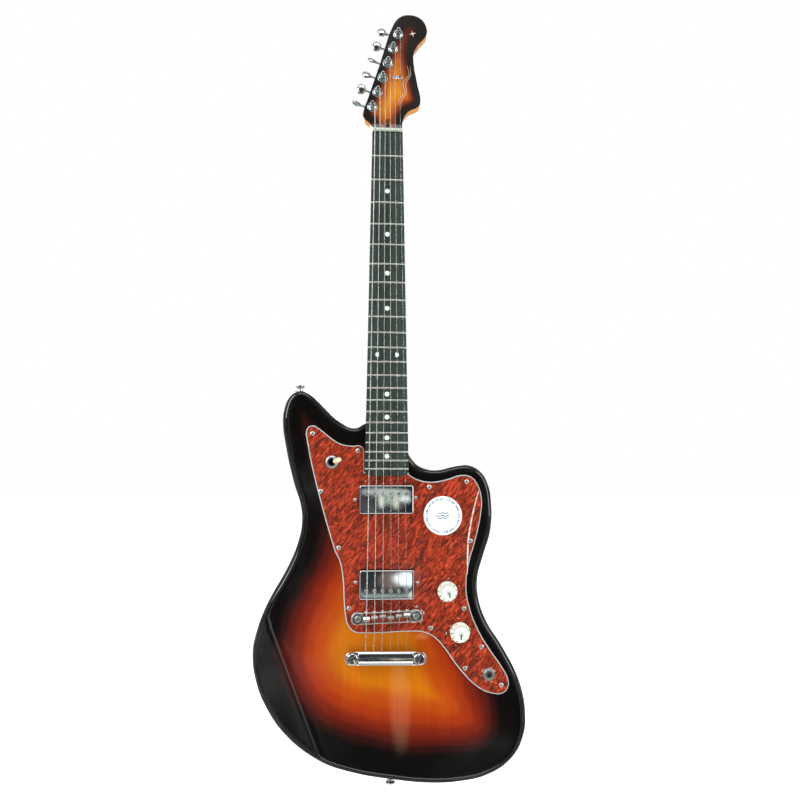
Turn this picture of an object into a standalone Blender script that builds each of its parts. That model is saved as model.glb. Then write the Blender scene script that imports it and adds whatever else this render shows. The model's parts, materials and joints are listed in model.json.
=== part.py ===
"""Electric guitar with an offset-waist solid body, a bolt-on neck and two covered humbuckers.

The guitar stands upright in its own frame. +Z runs up the neck from body to headstock, the
front with the strings faces -Y, and +X is the treble side. The origin is on the centreline at
the nut's front edge, level with the top face of the body, where a wall hanger's yoke grips the
neck. All sizes below are in millimetres, and MM turns them into Blender's metres. Heights
named *_F are measured forward from the body's top face, so F is minus Y.
"""

import math

import bmesh
import bpy
from mathutils import Matrix, Vector

MM = 0.001
GAP = 0.3

# Strings and scale
SCALE_LENGTH = 647.7
FRETS = 22
STRING_DIAMETERS = (0.25, 0.33, 0.43, 0.66, 0.91, 1.17)
NUT_STRING_SPACING = 6.98
BRIDGE_STRING_SPACING = 10.4
NUT_STRING_F = 13.2
SADDLE_STRING_F = 16.3
TAIL_STRING_F = 11.0
WINDING_F = 7.6
WINDING_POINTS = 9
BOARD_RADIUS = 241.0

# Neck
NUT_WIDTH = 42.0
BOARD_WIDTH_AT_LAST_FRET = 56.9
BOARD_TOP_F = 11.0
BOARD_UNDER_F = 5.0
BOARD_END_Z = -475.0
HEEL_END_Z = -469.0
HEEL_START_Z = -396.0
HEEL_BACK_F = -15.7
HEADSTOCK_FACE_F = 0.5
HEADSTOCK_THICKNESS = 14.0
NUT_THICKNESS = 3.3
FRET_WIDTH = 2.4
FRET_HEIGHT = 1.1
TRUSS_ROD_F = -0.6
TRUSS_ROD_RADIUS = 2.5

# Body
BODY_THICKNESS = 44.0
BODY_EDGE_RADIUS = 8.0
POCKET_FLOOR_F = -16.0
FOREARM_CREASE = ((-152.0, -656.0), (-90.0, -806.0))
FOREARM_TILT = math.radians(13.0)
BELLY_SCOOP_CENTRE = (-150.0, -530.0, -86.0)
BELLY_SCOOP_RADII = (110.0, 150.0, 60.0)
GUARD_THICKNESS = 2.2
GUARD_TOP_F = GAP + GUARD_THICKNESS

# Hardware
PICKUP_SIZE = (70.5, 37.0)
PICKUP_TOP_F = 12.0
PICKUP_COVER_DEPTH = 14.0
NECK_PICKUP = (-0.4, -505.8)
BRIDGE_PICKUP = (0.2, -614.4)
VOLUME_POT = (79.6, -624.2)
TONE_POT = (95.5, -676.2)
TOGGLE = (-71.9, -457.0)
TOGGLE_SWING = math.radians(15.0)
TOGGLE_TILT = math.radians(24.0)
JACK = (132.8, -729.3)
BRIDGE_POST_BASS = (-36.9, -656.2)
BRIDGE_POST_TREBLE = (37.4, -653.5)
BRIDGE_BAR_F = 10.7
BRIDGE_BAR_HEIGHT = 4.6
BRIDGE_END_RADIUS = 8.6
SADDLE_WIDTH = 8.6
INTONATION_SCREW_F = 10.8
INTONATION_SCREW_RADIUS = 1.0
SADDLE_OFFSETS = (1.5, 0.6, -0.8, 1.1, 0.0, -1.2)
TAIL_STUD_BASS = (-43.2, -704.9)
TAIL_STUD_TREBLE = (41.5, -706.0)
TAIL_SIZE = (104.0, 17.2)
TAIL_BAR_F = 9.6
TAIL_BAR_HEIGHT = 7.2
TAIL_HUMP_HALF_LENGTH = 35.0
TREE = (13.8, 81.9)
HORN_BUTTON = (-116.4, -361.9)
TAIL_BUTTON = (6.9, -858.2)
BUTTON_DEPTH_F = -22.0

# Machine heads: the first is the treble E string's, nearest the tip
TUNER_FIRST = (15.3, 151.1)
TUNER_LAST = (-21.0, 40.3)
TUNER_COUNT = 6
WORM_OFFSET = 7.1
WORM_DEPTH = 20.0
TUNER_BUTTON_TURNS = (20.0, 4.0, 52.0, 33.0, 0.0, 84.0)

# Outlines: points (x, z) that a smooth curve passes through; "V" marks a sharp corner
BODY_OUTLINE = (
    (-115.5, -361.5), (-128.4, -368.4), (-136.0, -385.5), (-137.7, -404.1), (-133.1, -436.0),
    (-121.8, -483.5), (-112.1, -514.9), (-110.5, -536.0), (-115.3, -561.5), (-127.7, -592.2),
    (-152.6, -637.6), (-166.5, -674.0), (-171.6, -703.0), (-165.5, -741.8), (-152.3, -771.4),
    (-130.3, -801.0), (-89.5, -831.0), (-49.0, -846.5), (10.0, -858.0), (60.0, -863.4),
    (98.6, -861.9), (129.8, -855.5), (161.4, -836.7), (177.5, -811.0), (181.6, -780.0),
    (174.4, -740.7), (151.4, -694.8), (131.9, -664.0), (122.5, -637.0), (120.7, -609.8),
    (129.2, -578.7), (139.1, -547.2), (141.0, -511.0), (136.0, -483.5), (127.3, -469.5),
    (111.1, -460.6), (92.0, -461.3), (67.7, -466.5), (46.1, -462.9), (33.5, -451.5),
    (26.5, -436.0), (23.5, -418.0), (13.5, -407.0), (-6.0, -403.0), (-27.0, -404.0),
    (-42.5, -410.9), (-64.0, -401.6), (-85.6, -381.6), (-103.0, -365.8),
)
GUARD_OUTLINE = (
    (-106.5, -421.0), (-104.6, -412.0), (-97.8, -408.6), (-89.5, -412.3), (-74.0, -424.6),
    (-60.0, -432.8), (-44.0, -435.3), (-36.0, -434.8), (-30.6, -438.6), (-29.4, -444.0, "V"),
    (-29.4, -470.4, "V"), (29.4, -470.4, "V"), (29.4, -473.0, "V"), (41.5, -479.4),
    (58.0, -482.6), (80.5, -479.1), (98.0, -473.8), (112.6, -475.8), (121.5, -486.0),
    (126.7, -505.1), (125.5, -524.0), (118.8, -554.5), (107.5, -593.7), (104.8, -618.0),
    (107.0, -638.0), (120.0, -673.8), (135.0, -698.5), (150.8, -721.2), (157.8, -735.0),
    (158.0, -745.5), (150.2, -753.4), (136.0, -753.2), (117.8, -745.0), (94.0, -721.6),
    (69.4, -689.1), (59.6, -680.6), (48.0, -675.7), (36.1, -674.6), (-25.5, -676.0),
    (-40.3, -674.4), (-48.5, -667.4), (-52.5, -655.5), (-54.2, -643.1), (-56.9, -603.4),
    (-60.7, -585.2), (-67.6, -570.5),
)
HEADSTOCK_OUTLINE = (
    (-21.0, 3.0, "V"), (-21.0, 11.0), (-34.2, 26.0), (-33.6, 33.6), (-28.2, 51.0),
    (-10.0, 108.0), (8.4, 166.0), (14.1, 174.7), (21.8, 180.3), (31.0, 182.0),
    (41.1, 180.6), (50.1, 175.0), (56.0, 164.0), (56.0, 152.0), (44.8, 137.1),
    (38.2, 124.0), (37.4, 110.0), (43.3, 74.8), (46.9, 50.0), (44.6, 43.8),
    (30.5, 35.5), (23.5, 25.0), (21.3, 12.0), (21.0, 3.0, "V"),
)
CONTROL_CAVITY = (
    (64.0, -604.0), (94.0, -600.0), (98.0, -640.0), (114.0, -672.0), (148.0, -726.0),
    (146.0, -743.0), (126.0, -744.0), (102.0, -720.0), (82.0, -692.0), (66.0, -664.0),
)


# ---------------------------------------------------------------------------------------------
# Scene, materials and small helpers
# ---------------------------------------------------------------------------------------------

PARTS = None
CUTTERS = None


def clear_scene():
    """Removes what the start-up scene holds and makes the two collections."""
    global PARTS, CUTTERS
    for thing in list(bpy.context.scene.objects):
        bpy.data.objects.remove(thing)
    PARTS = bpy.data.collections.new("electric_guitar")
    CUTTERS = bpy.data.collections.new("cutters")
    for group in (PARTS, CUTTERS):
        bpy.context.scene.collection.children.link(group)


def material(name, colour, metallic, roughness):
    """One Principled material."""
    made = bpy.data.materials.new(name)
    made.use_nodes = True
    shader = made.node_tree.nodes["Principled BSDF"]
    shader.inputs["Base Color"].default_value = (*colour, 1.0)
    shader.inputs["Metallic"].default_value = metallic
    shader.inputs["Roughness"].default_value = roughness
    made.diffuse_color = (*colour, 1.0)
    return made


def at(x, z, forward=0.0):
    """A point in metres from its place across, along and forward of the body's top face."""
    return Vector((x, -forward, z)) * MM


FACE_FORWARD = Matrix.Rotation(math.pi / 2, 4, "X")
"""Turns a shape drawn in its own XY plane so that its +Z looks forward, along -Y."""

ALONG_BAR = Matrix(((0, 0, 1, 0), (1, 0, 0, 0), (0, 1, 0, 0), (0, 0, 0, 1)))
"""Turns a section drawn in its own XY plane so that it is pushed along a bar's length."""


def place(origin, turn=FACE_FORWARD):
    return Matrix.Translation(origin) @ turn


def new_object(name, data, matrix, group=None):
    thing = bpy.data.objects.new(name, data)
    thing.matrix_world = matrix
    (group or PARTS).objects.link(thing)
    if (group or PARTS) is CUTTERS:
        thing.hide_render = True
        thing.display_type = "WIRE"
    return thing


def paint(thing, coat):
    thing.data.materials.clear()
    thing.data.materials.append(coat)
    return thing


def mesh_from(shape, name):
    """Ends a bmesh as a mesh in metres, smooth where its faces meet at a shallow angle."""
    bmesh.ops.recalc_face_normals(shape, faces=shape.faces)
    bmesh.ops.scale(shape, vec=(MM, MM, MM), verts=shape.verts)
    made = bpy.data.meshes.new(name)
    shape.to_mesh(made)
    shape.free()
    soften(made)
    return made


def soften(made):
    made.shade_smooth()
    made.set_sharp_from_angle(angle=math.radians(35))


def box(name, size, matrix, group=None, bevel=0.0):
    """A box centred on its own origin, with its edges rounded by bevel."""
    shape = bmesh.new()
    bmesh.ops.create_cube(shape, size=1.0)
    bmesh.ops.scale(shape, vec=size, verts=shape.verts)
    if bevel:
        bmesh.ops.bevel(shape, geom=shape.edges[:], offset=bevel, segments=1, affect="EDGES")
    return new_object(name, mesh_from(shape, name), matrix, group)


def rod(name, radius, low, high, matrix, group=None, sides=16):
    """A plain cylinder along its own Z from low to high."""
    shape = bmesh.new()
    middle = Matrix.Translation((0, 0, (low + high) / 2))
    bmesh.ops.create_cone(shape, cap_ends=True, segments=sides, radius1=radius, radius2=radius,
                          depth=high - low, matrix=middle)
    return new_object(name, mesh_from(shape, name), matrix, group)


def turned(name, profile, matrix, group=None, steps=14):
    """A turned piece: its half section (radius, height), swept round its own Z axis."""
    made = bpy.data.meshes.new(name)
    points = [(radius * MM, 0.0, height * MM) for radius, height in profile]
    edges = [(i, i + 1) for i in range(len(points) - 1)]
    made.from_pydata(points, edges, [])
    thing = new_object(name, made, matrix, group)
    screw = thing.modifiers.new("turn", "SCREW")
    screw.axis = "Z"
    screw.steps = steps
    screw.render_steps = steps
    screw.use_merge_vertices = True
    screw.merge_threshold = 0.00001
    screw.use_smooth_shade = False
    return as_mesh(thing)


def as_mesh(thing):
    """Replaces an object by the mesh that its curve or modifiers make, in the same place."""
    bpy.context.view_layer.update()
    graph = bpy.context.evaluated_depsgraph_get()
    made = bpy.data.meshes.new_from_object(thing.evaluated_get(graph))
    shape = bmesh.new()
    shape.from_mesh(made)
    bmesh.ops.remove_doubles(shape, verts=shape.verts, dist=0.000004)
    shape.to_mesh(made)
    shape.free()
    made.name = thing.name
    soften(made)
    name, matrix, group = thing.name, thing.matrix_world.copy(), thing.users_collection[0]
    bpy.data.objects.remove(thing)
    return new_object(name, made, matrix, group)


def settle(thing):
    """Works out an object's modifiers and moves its shape into its mesh, origin at zero."""
    settled = as_mesh(thing)
    settled.data.transform(settled.matrix_world)
    settled.matrix_world = Matrix.Identity(4)
    return settled


def circle_points(x, z, radius, count=14):
    turns = [2 * math.pi * i / count for i in range(count)]
    return [(x + radius * math.cos(t), z + radius * math.sin(t)) for t in turns]


def rounded_rectangle(x, z, width, height, radius, corner_steps=3):
    """Points round a rectangle whose corners are arcs."""
    points = []
    for quarter in range(4):
        sign_x = 1 if quarter in (0, 3) else -1
        sign_z = 1 if quarter in (0, 1) else -1
        middle_x = x + sign_x * (width / 2 - radius)
        middle_z = z + sign_z * (height / 2 - radius)
        for step in range(corner_steps + 1):
            turn = math.pi / 2 * (quarter + step / corner_steps)
            points.append((middle_x + radius * math.cos(turn), middle_z + radius * math.sin(turn)))
    return points


def add_spline(curve, points, smooth):
    """Adds one closed outline: a smooth curve through the points, or straight edges."""
    kind = "BEZIER" if smooth else "POLY"
    spline = curve.splines.new(kind)
    if smooth:
        spline.bezier_points.add(len(points) - 1)
        for knot, point in zip(spline.bezier_points, points):
            knot.co = (point[0] * MM, point[1] * MM, 0.0)
            handle = "VECTOR" if len(point) > 2 else "AUTO"
            knot.handle_left_type = handle
            knot.handle_right_type = handle
    else:
        spline.points.add(len(points) - 1)
        for knot, point in zip(spline.points, points):
            knot.co = (point[0] * MM, point[1] * MM, 0.0, 1.0)
    spline.use_cyclic_u = True
    spline.resolution_u = 3


def plate(name, outline, front, back, holes=(), smooth=True, edge=0.0, matrix=None, group=None):
    """A flat piece cut to an outline, from its back height to its front height (both _F)."""
    curve = bpy.data.curves.new(name, "CURVE")
    curve.dimensions = "2D"
    curve.fill_mode = "BOTH"
    curve.resolution_u = 3
    curve.render_resolution_u = 0
    add_spline(curve, outline, smooth)
    for hole in holes:
        add_spline(curve, hole, False)
    curve.extrude = ((front - back) / 2 - edge) * MM
    if edge:
        curve.bevel_depth = edge * MM
        curve.bevel_resolution = 1
        curve.offset = -edge * MM
    middle = at(0.0, 0.0, (front + back) / 2)
    thing = new_object(name, curve, matrix or place(middle), group)
    return as_mesh(thing)


def tube(name, points, radius, group=None):
    """A wire of one radius through points given in metres, with filled ends."""
    curve = bpy.data.curves.new(name, "CURVE")
    curve.dimensions = "3D"
    curve.bevel_depth = radius * MM
    curve.bevel_resolution = 2
    curve.use_fill_caps = True
    spline = curve.splines.new("POLY")
    spline.points.add(len(points) - 1)
    for knot, point in zip(spline.points, points):
        knot.co = (*point, 1.0)
    return new_object(name, curve, Matrix.Identity(4), group)


def loft(name, rings, group=None):
    """A closed solid through rings of points that all have the same count."""
    shape = bmesh.new()
    loops = [[shape.verts.new(point) for point in ring] for ring in rings]
    count = len(rings[0])
    for low, high in zip(loops, loops[1:]):
        for i in range(count):
            j = (i + 1) % count
            shape.faces.new((low[i], low[j], high[j], high[i]))
    shape.faces.new(loops[0])
    shape.faces.new(loops[-1])
    return new_object(name, mesh_from(shape, name), Matrix.Identity(4), group)


def boolean(thing, other, operation):
    step = thing.modifiers.new(other.name, "BOOLEAN")
    step.operation = operation
    step.object = other
    step.solver = "EXACT"


def cut(thing, *cutters):
    for cutter in cutters:
        boolean(thing, cutter, "DIFFERENCE")
    return thing


def join(thing, *others):
    for other in others:
        boolean(thing, other, "UNION")
    return thing


def empty(name, matrix):
    thing = bpy.data.objects.new(name, None)
    thing.matrix_world = matrix
    PARTS.objects.link(thing)
    bpy.context.view_layer.update()
    return thing


# ---------------------------------------------------------------------------------------------
# Layout rules shared by several parts
# ---------------------------------------------------------------------------------------------


def fret_z(number):
    return -SCALE_LENGTH * (1 - 2 ** (-number / 12))


def board_half_width(z):
    """Half the fretboard's width at a distance z from the nut (z is negative down the neck)."""
    share = z / fret_z(FRETS)
    return (NUT_WIDTH + (BOARD_WIDTH_AT_LAST_FRET - NUT_WIDTH) * share) / 2


def crown_drop(x):
    """How far the fretboard's crowned top lies below its centre line at x."""
    return BOARD_RADIUS - math.sqrt(BOARD_RADIUS**2 - x**2)


def string_x(number, spacing):
    """Across position of string 1 (treble E) to 6 (bass E)."""
    return (3.5 - number) * spacing


def tuner_place(number):
    """Where machine head 1 to 6 sits: local +Z forward, local +X out towards its button."""
    share = (number - 1) / (TUNER_COUNT - 1)
    first, last = Vector(TUNER_FIRST), Vector(TUNER_LAST)
    spot = first.lerp(last, share)
    along = (first - last).normalized()
    out = Vector((-along.y, 0.0, along.x))
    forward = Vector((0.0, -1.0, 0.0))
    side = forward.cross(out)
    turn = Matrix((out, side, forward)).transposed().to_4x4()
    return Matrix.Translation(at(spot.x, spot.y, HEADSTOCK_FACE_F)) @ turn


def place_between(bass_spot, treble_spot):
    """The frame midway between two posts: local +X runs to the treble side, +Y up the neck."""
    bass, treble = Vector(bass_spot), Vector(treble_spot)
    middle = (bass + treble) / 2
    slope = math.atan2(treble.y - bass.y, treble.x - bass.x)
    return place(at(middle.x, middle.y)) @ Matrix.Rotation(slope, 4, "Z")


def bridge_place():
    return place_between(BRIDGE_POST_BASS, BRIDGE_POST_TREBLE)


def tail_place():
    return place_between(TAIL_STUD_BASS, TAIL_STUD_TREBLE)


def shifted(x, y, z):
    """A move by millimetres inside a piece's own frame."""
    return Matrix.Translation(Vector((x, y, z)) * MM)


def saddle_point(number):
    """The point, in metres, where a string's centre line breaks over its saddle."""
    x = string_x(number, BRIDGE_STRING_SPACING)
    local = Vector((x, SADDLE_OFFSETS[number - 1], SADDLE_STRING_F - crown_drop(x))) * MM
    return bridge_place() @ local


# ---------------------------------------------------------------------------------------------
# Body
# ---------------------------------------------------------------------------------------------


def make_body(coat):
    body = plate("body", BODY_OUTLINE, 0.0, -BODY_THICKNESS, edge=BODY_EDGE_RADIUS)
    paint(body, coat)
    pocket_low = board_half_width(HEEL_END_Z) + 0.4
    pocket_high = board_half_width(HEEL_START_Z + 10) + 0.4
    pocket = plate(
        "neck_pocket",
        [(-pocket_low, HEEL_END_Z - GAP), (pocket_low, HEEL_END_Z - GAP),
         (pocket_high, HEEL_START_Z + 10), (-pocket_high, HEEL_START_Z + 10)],
        5.0, POCKET_FLOOR_F, smooth=False, group=CUTTERS)
    cut(body, pocket, *contours(), *routes(), *hardware_holes())
    return body


def contours():
    """The flat forearm bevel on the front of the bass-side bout and the scooped belly cut."""
    start, end = Vector(FOREARM_CREASE[0]), Vector(FOREARM_CREASE[1])
    middle = (start + end) / 2
    heading = math.atan2(end.x - start.x, start.y - end.y)
    forearm = box("forearm_contour", (120.0, 260.0, 40.0),
                  place(at(middle.x, middle.y))
                  @ Matrix.Rotation(heading, 4, "Z")
                  @ Matrix.Rotation(-FOREARM_TILT, 4, "Y")
                  @ shifted(-60.0, 0.0, 20.0), CUTTERS)
    scoop = bmesh.new()
    bmesh.ops.create_uvsphere(scoop, u_segments=28, v_segments=18, radius=1.0)
    bmesh.ops.scale(scoop, vec=BELLY_SCOOP_RADII, verts=scoop.verts)
    belly = new_object("belly_contour", mesh_from(scoop, "belly_contour"),
                       place(at(*BELLY_SCOOP_CENTRE)), CUTTERS)
    return forearm, belly


def routes():
    """Hollows under the pickguard for pickups, controls and their wires."""
    cavities = []
    for name, spot in (("neck_pickup_route", NECK_PICKUP), ("bridge_pickup_route", BRIDGE_PICKUP)):
        cavities.append(box(name, (94.0, 42.0, 34.0), place(at(*spot, -5.0)), CUTTERS))
    cavities.append(box("switch_route", (30.0, 50.0, 50.0), place(at(*TOGGLE, -11.0)), CUTTERS))
    cavities.append(plate("control_route", CONTROL_CAVITY, 6.0, -34.0, smooth=False,
                          group=CUTTERS))
    channels = (
        ("switch_channel", (-54.0, -483.0), (52.0, 10.0), -42.0),
        ("pickup_channel", (24.0, -560.0), (10.0, 74.0), 0.0),
        ("control_channel", (58.0, -622.0), (30.0, 10.0), 0.0),
    )
    for name, spot, (width, length), angle in channels:
        turn = Matrix.Rotation(math.radians(angle), 4, "Z")
        cavities.append(box(name, (width, length, 26.0), place(at(*spot, -3.0)) @ turn, CUTTERS))
    return cavities


def hardware_holes():
    """Bores for the bridge and tailpiece anchors and for the two strap-button screws."""
    holes = []
    for side, spot in (("bass", BRIDGE_POST_BASS), ("treble", BRIDGE_POST_TREBLE)):
        holes.append(rod(f"bridge_bore_{side}", 3.5, -26.0, 3.0, place(at(*spot)), CUTTERS))
    for side, spot in (("bass", TAIL_STUD_BASS), ("treble", TAIL_STUD_TREBLE)):
        holes.append(rod(f"tail_bore_{side}", 5.9, -24.0, 3.0, place(at(*spot)), CUTTERS))
    up = Matrix.Identity(4)
    holes.append(rod("horn_screw_bore", 2.3, -24.0, 6.0,
                     place(at(*HORN_BUTTON, BUTTON_DEPTH_F), up), CUTTERS, sides=10))
    holes.append(rod("tail_screw_bore", 2.3, -6.0, 24.0,
                     place(at(*TAIL_BUTTON, BUTTON_DEPTH_F), up), CUTTERS, sides=10))
    return holes


def make_strap_button(name, spot, up, coat):
    """A turned button with its screw; up is +1 on the horn and -1 at the tail."""
    profile = ((0.0, 10.2), (5.6, 10.2), (6.5, 9.2), (6.5, 7.9), (4.6, 6.4), (4.2, 3.0),
               (5.6, 1.4), (5.6, 0.5), (1.9, 0.5), (1.9, -18.0), (0.0, -19.0))
    turn = Matrix.Rotation(0.0 if up > 0 else math.pi, 4, "X")
    return paint(turned(name, profile, place(at(*spot, BUTTON_DEPTH_F), turn)), coat)


def make_neck_plate(coat):
    middle = (HEEL_START_Z + HEEL_END_Z) / 2 - 4.0
    outline = rounded_rectangle(0.0, middle, 51.0, 63.5, 3.0)
    holes = [circle_points(sx * 19.0, middle + sz * 25.4, 2.5, 12)
             for sx in (-1, 1) for sz in (-1, 1)]
    back = -BODY_THICKNESS - GAP
    return paint(plate("neck_plate", outline, back, back - 2.0, holes, smooth=False), coat)


# ---------------------------------------------------------------------------------------------
# Neck
# ---------------------------------------------------------------------------------------------


def shaft_ring(z, half_width, depth, fullness, count=16):
    """A neck section: flat on the fretboard side and rounded behind; fullness squares it."""
    top = BOARD_UNDER_F - GAP
    ring = []
    for i in range(count + 1):
        turn = math.pi * i / count
        x = half_width * math.copysign(abs(math.cos(turn)) ** (2 / fullness), math.cos(turn))
        back = depth * abs(math.sin(turn)) ** (2 / fullness)
        ring.append((x, -top + back, z))
    return ring


def make_neck(coat):
    """Shaft, heel and headstock in one piece, with the truss rod's slot and the tuner bores."""
    rings = []
    for z, depth, fullness in ((22.0, 18.0, 2.6), (8.0, 15.8, 2.3), (-10.0, 14.7, 2.1),
                               (-120.0, 15.4, 2.1), (-240.0, 16.6, 2.1), (-340.0, 17.6, 2.2),
                               (-376.0, 18.2, 2.5), (HEEL_START_Z - 6.0, 19.6, 5.0)):
        width = board_half_width(min(z, 0.0)) - 0.2
        rings.append(shaft_ring(z, width, depth, fullness))
    neck = loft("neck", rings)
    heel = plate("neck_heel",
                 [(-board_half_width(HEEL_END_Z), HEEL_END_Z),
                  (board_half_width(HEEL_END_Z), HEEL_END_Z),
                  (board_half_width(HEEL_START_Z), HEEL_START_Z),
                  (-board_half_width(HEEL_START_Z), HEEL_START_Z)],
                 BOARD_UNDER_F - GAP, HEEL_BACK_F, smooth=False, group=CUTTERS)
    head = plate("headstock", HEADSTOCK_OUTLINE, HEADSTOCK_FACE_F,
                 HEADSTOCK_FACE_F - HEADSTOCK_THICKNESS, group=CUTTERS)
    join(neck, heel, head)
    cut(neck, headstock_scoop())
    slot = box("truss_rod_slot", (6.4, 444.0, 10.0), place(at(0.0, -226.0, 1.6)), CUTTERS)
    along = Matrix.Identity(4)
    nut_bore = rod("truss_nut_bore", 4.2, -8.0, 23.0, place(at(0.0, 0.0, TRUSS_ROD_F), along),
                   CUTTERS)
    cut(neck, slot, nut_bore)
    for number in range(1, TUNER_COUNT + 1):
        cut(neck, rod(f"tuner_bore_{number}", 5.2, -20.0, 6.0, tuner_place(number), CUTTERS))
    return paint(neck, coat)


def headstock_scoop():
    """Takes the ramp behind the nut down from the fretboard's underside to the face."""
    start, end = NUT_THICKNESS + 1.2, 19.0
    rise = BOARD_UNDER_F - GAP - HEADSTOCK_FACE_F
    profile = [(start, 12.0)]
    for i in range(7):
        share = i / 6
        height = HEADSTOCK_FACE_F + rise * (1 - share) ** 2
        profile.append((start + (end - start) * share, height))
    profile += [(40.0, HEADSTOCK_FACE_F), (40.0, 12.0)]
    sideways = Matrix(((0, 0, 1, 0), (0, -1, 0, 0), (1, 0, 0, 0), (0, 0, 0, 1)))
    return plate("headstock_scoop", profile, 30.0, -30.0, smooth=False, matrix=sideways,
                 group=CUTTERS)


def make_fretboard(coat):
    """A tapered rosewood board with a crowned top; its frets are joined to it as ridges."""
    end = board_half_width(BOARD_END_Z)
    corner = 8.0
    outline = [(-NUT_WIDTH / 2, -0.15), (-end, BOARD_END_Z + corner)]
    for i in range(1, 5):
        turn = math.pi / 2 * i / 4
        outline.append((-end + corner * (1 - math.cos(turn)),
                        BOARD_END_Z + corner * (1 - math.sin(turn))))
    outline += [(-x, z) for x, z in reversed(outline)]
    board = plate("fretboard", outline, BOARD_TOP_F + 1.0, BOARD_UNDER_F, smooth=False)
    crown = crown_solid("fretboard_crown", BOARD_TOP_F, -500.0, 10.0, 40.0)
    boolean(board, crown, "INTERSECT")
    for number in range(1, FRETS + 1):
        z = fret_z(number)
        width = board_half_width(z) - 0.4
        join(board, crown_solid(f"fret_{number}", BOARD_TOP_F + FRET_HEIGHT, z - FRET_WIDTH / 2,
                                z + FRET_WIDTH / 2, width))
    return paint(board, coat)


def crown_solid(name, top, low_z, high_z, half_width, count=6):
    """A bar across the neck whose top follows the board's crown, down into the board."""
    bottom = BOARD_UNDER_F + 2.0 if half_width < 39.0 else BOARD_UNDER_F - 1.0
    points = [(half_width, bottom), (-half_width, bottom)]
    for i in range(count + 1):
        x = half_width * (2 * i / count - 1)
        points.append((x, top - crown_drop(x)))
    rings = [[Vector((x, -f, z)) for x, f in points] for z in (low_z, high_z)]
    return loft(name, rings, CUTTERS)


def make_string_nut(coat):
    """The grooved nut behind the first fret space, with one slot for each string."""
    height = NUT_STRING_F + 0.5 - BOARD_UNDER_F
    nut = box("string_nut", (NUT_WIDTH, NUT_THICKNESS, height),
              place(at(0.0, NUT_THICKNESS / 2 + 0.15, BOARD_UNDER_F + height / 2)), bevel=0.5)
    for number, diameter in enumerate(STRING_DIAMETERS, 1):
        x = string_x(number, NUT_STRING_SPACING)
        floor = NUT_STRING_F - crown_drop(x) - diameter / 2 - GAP
        depth = 4.0
        slot = box(f"nut_slot_{number}", (diameter + 0.7, 12.0, depth),
                   place(at(x, 1.8, floor + depth / 2)), CUTTERS)
        cut(nut, slot)
    return paint(nut, coat)


def make_truss_rod(steel, dark_steel):
    """The rod in its slot and the barrel nut that tightens it, with a hex socket."""
    along = place(at(0.0, 0.0, TRUSS_ROD_F), Matrix.Identity(4))
    paint(rod("truss_rod", TRUSS_ROD_RADIUS, -444.0, 2.2, along, sides=12), steel)
    nut = rod("truss_rod_nut", 3.6, 2.6, 15.5, along, sides=20)
    cut(nut, rod("truss_nut_socket", 2.1, 9.5, 20.0, along, CUTTERS, sides=6))
    paint(nut, dark_steel)


def make_string_tree(coat):
    """A small winged retainer that holds the two treble strings down on the headstock."""
    wing_under = WINDING_F - 1.0
    stem = rod("string_tree", 2.2, HEADSTOCK_FACE_F + GAP, wing_under + 0.8, place(at(*TREE)),
               sides=14)
    wing = box("string_tree_wing", (13.5, 4.2, 1.4), place(at(*TREE, wing_under + 0.9)),
               CUTTERS, bevel=0.3)
    return paint(join(stem, wing), coat)


# ---------------------------------------------------------------------------------------------
# Pickguard, pickups and controls
# ---------------------------------------------------------------------------------------------


def make_pickguard(coat):
    width, height = PICKUP_SIZE
    holes = [rounded_rectangle(*spot, width + 1.4, height + 1.4, 3.2)
             for spot in (NECK_PICKUP, BRIDGE_PICKUP)]
    holes.append(circle_points(*BRIDGE_POST_BASS, 7.2))
    holes.append(circle_points(*BRIDGE_POST_TREBLE, 9.0))
    holes.append(circle_points(*TOGGLE, 6.6))
    holes.append(circle_points(*JACK, 5.3))
    holes += [circle_points(*spot, 4.8) for spot in (VOLUME_POT, TONE_POT)]
    return paint(plate("pickguard", GUARD_OUTLINE, GUARD_TOP_F, GAP, holes), coat)


def make_pickup(name, spot, chrome, dark):
    """A chromed cover open underneath, over one solid for its bobbins, magnet and baseplate."""
    width, height = PICKUP_SIZE
    depth = PICKUP_COVER_DEPTH
    cover = plate(f"{name}_cover", rounded_rectangle(*spot, width, height, 2.6), PICKUP_TOP_F,
                  PICKUP_TOP_F - depth, smooth=False, edge=1.2)
    hollow = box(f"{name}_hollow", (width - 1.6, height - 1.6, depth),
                 place(at(*spot, PICKUP_TOP_F - depth / 2 - 0.8)), CUTTERS)
    paint(cut(cover, hollow), chrome)
    base_top = PICKUP_TOP_F - depth - GAP
    coils = box(f"{name}_coils", (width - 3.0, height - 3.0, depth),
                place(at(*spot, PICKUP_TOP_F - 1.3 - depth / 2)))
    base = plate(f"{name}_base", rounded_rectangle(*spot, 88.0, 30.0, 4.0), base_top,
                 base_top - 1.6, smooth=False, group=CUTTERS)
    paint(join(coils, base), dark)


def make_pot(name, spot, steel):
    """A potentiometer hung under the pickguard, its threaded bush standing through it."""
    profile = ((0.0, -6.0), (3.4, -6.0), (3.4, 7.5), (4.4, 7.5), (4.4, -1.0), (12.0, -1.0),
               (12.0, -11.0), (0.0, -11.0))
    return paint(turned(name, profile, place(at(*spot))), steel)


def make_knob(name, spot, coat):
    """A skirted knob, hollow underneath, in one piece with the shaft that it turns."""
    profile = ((0.0, 17.2), (8.4, 17.2), (9.2, 16.4), (10.2, 8.2), (13.0, 5.2), (13.0, 3.3),
               (11.8, 3.3), (8.6, 7.0), (8.2, 11.0), (3.0, 11.0), (3.0, -4.0), (0.0, -4.0))
    return paint(turned(name, profile, place(at(*spot)), steps=18), coat)


def make_capacitor(coat):
    """The tone capacitor, beside the tone potentiometer."""
    return paint(box("tone_capacitor", (12.0, 8.0, 4.5), place(at(80.0, -652.0, -13.5)),
                     bevel=0.8), coat)


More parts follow.
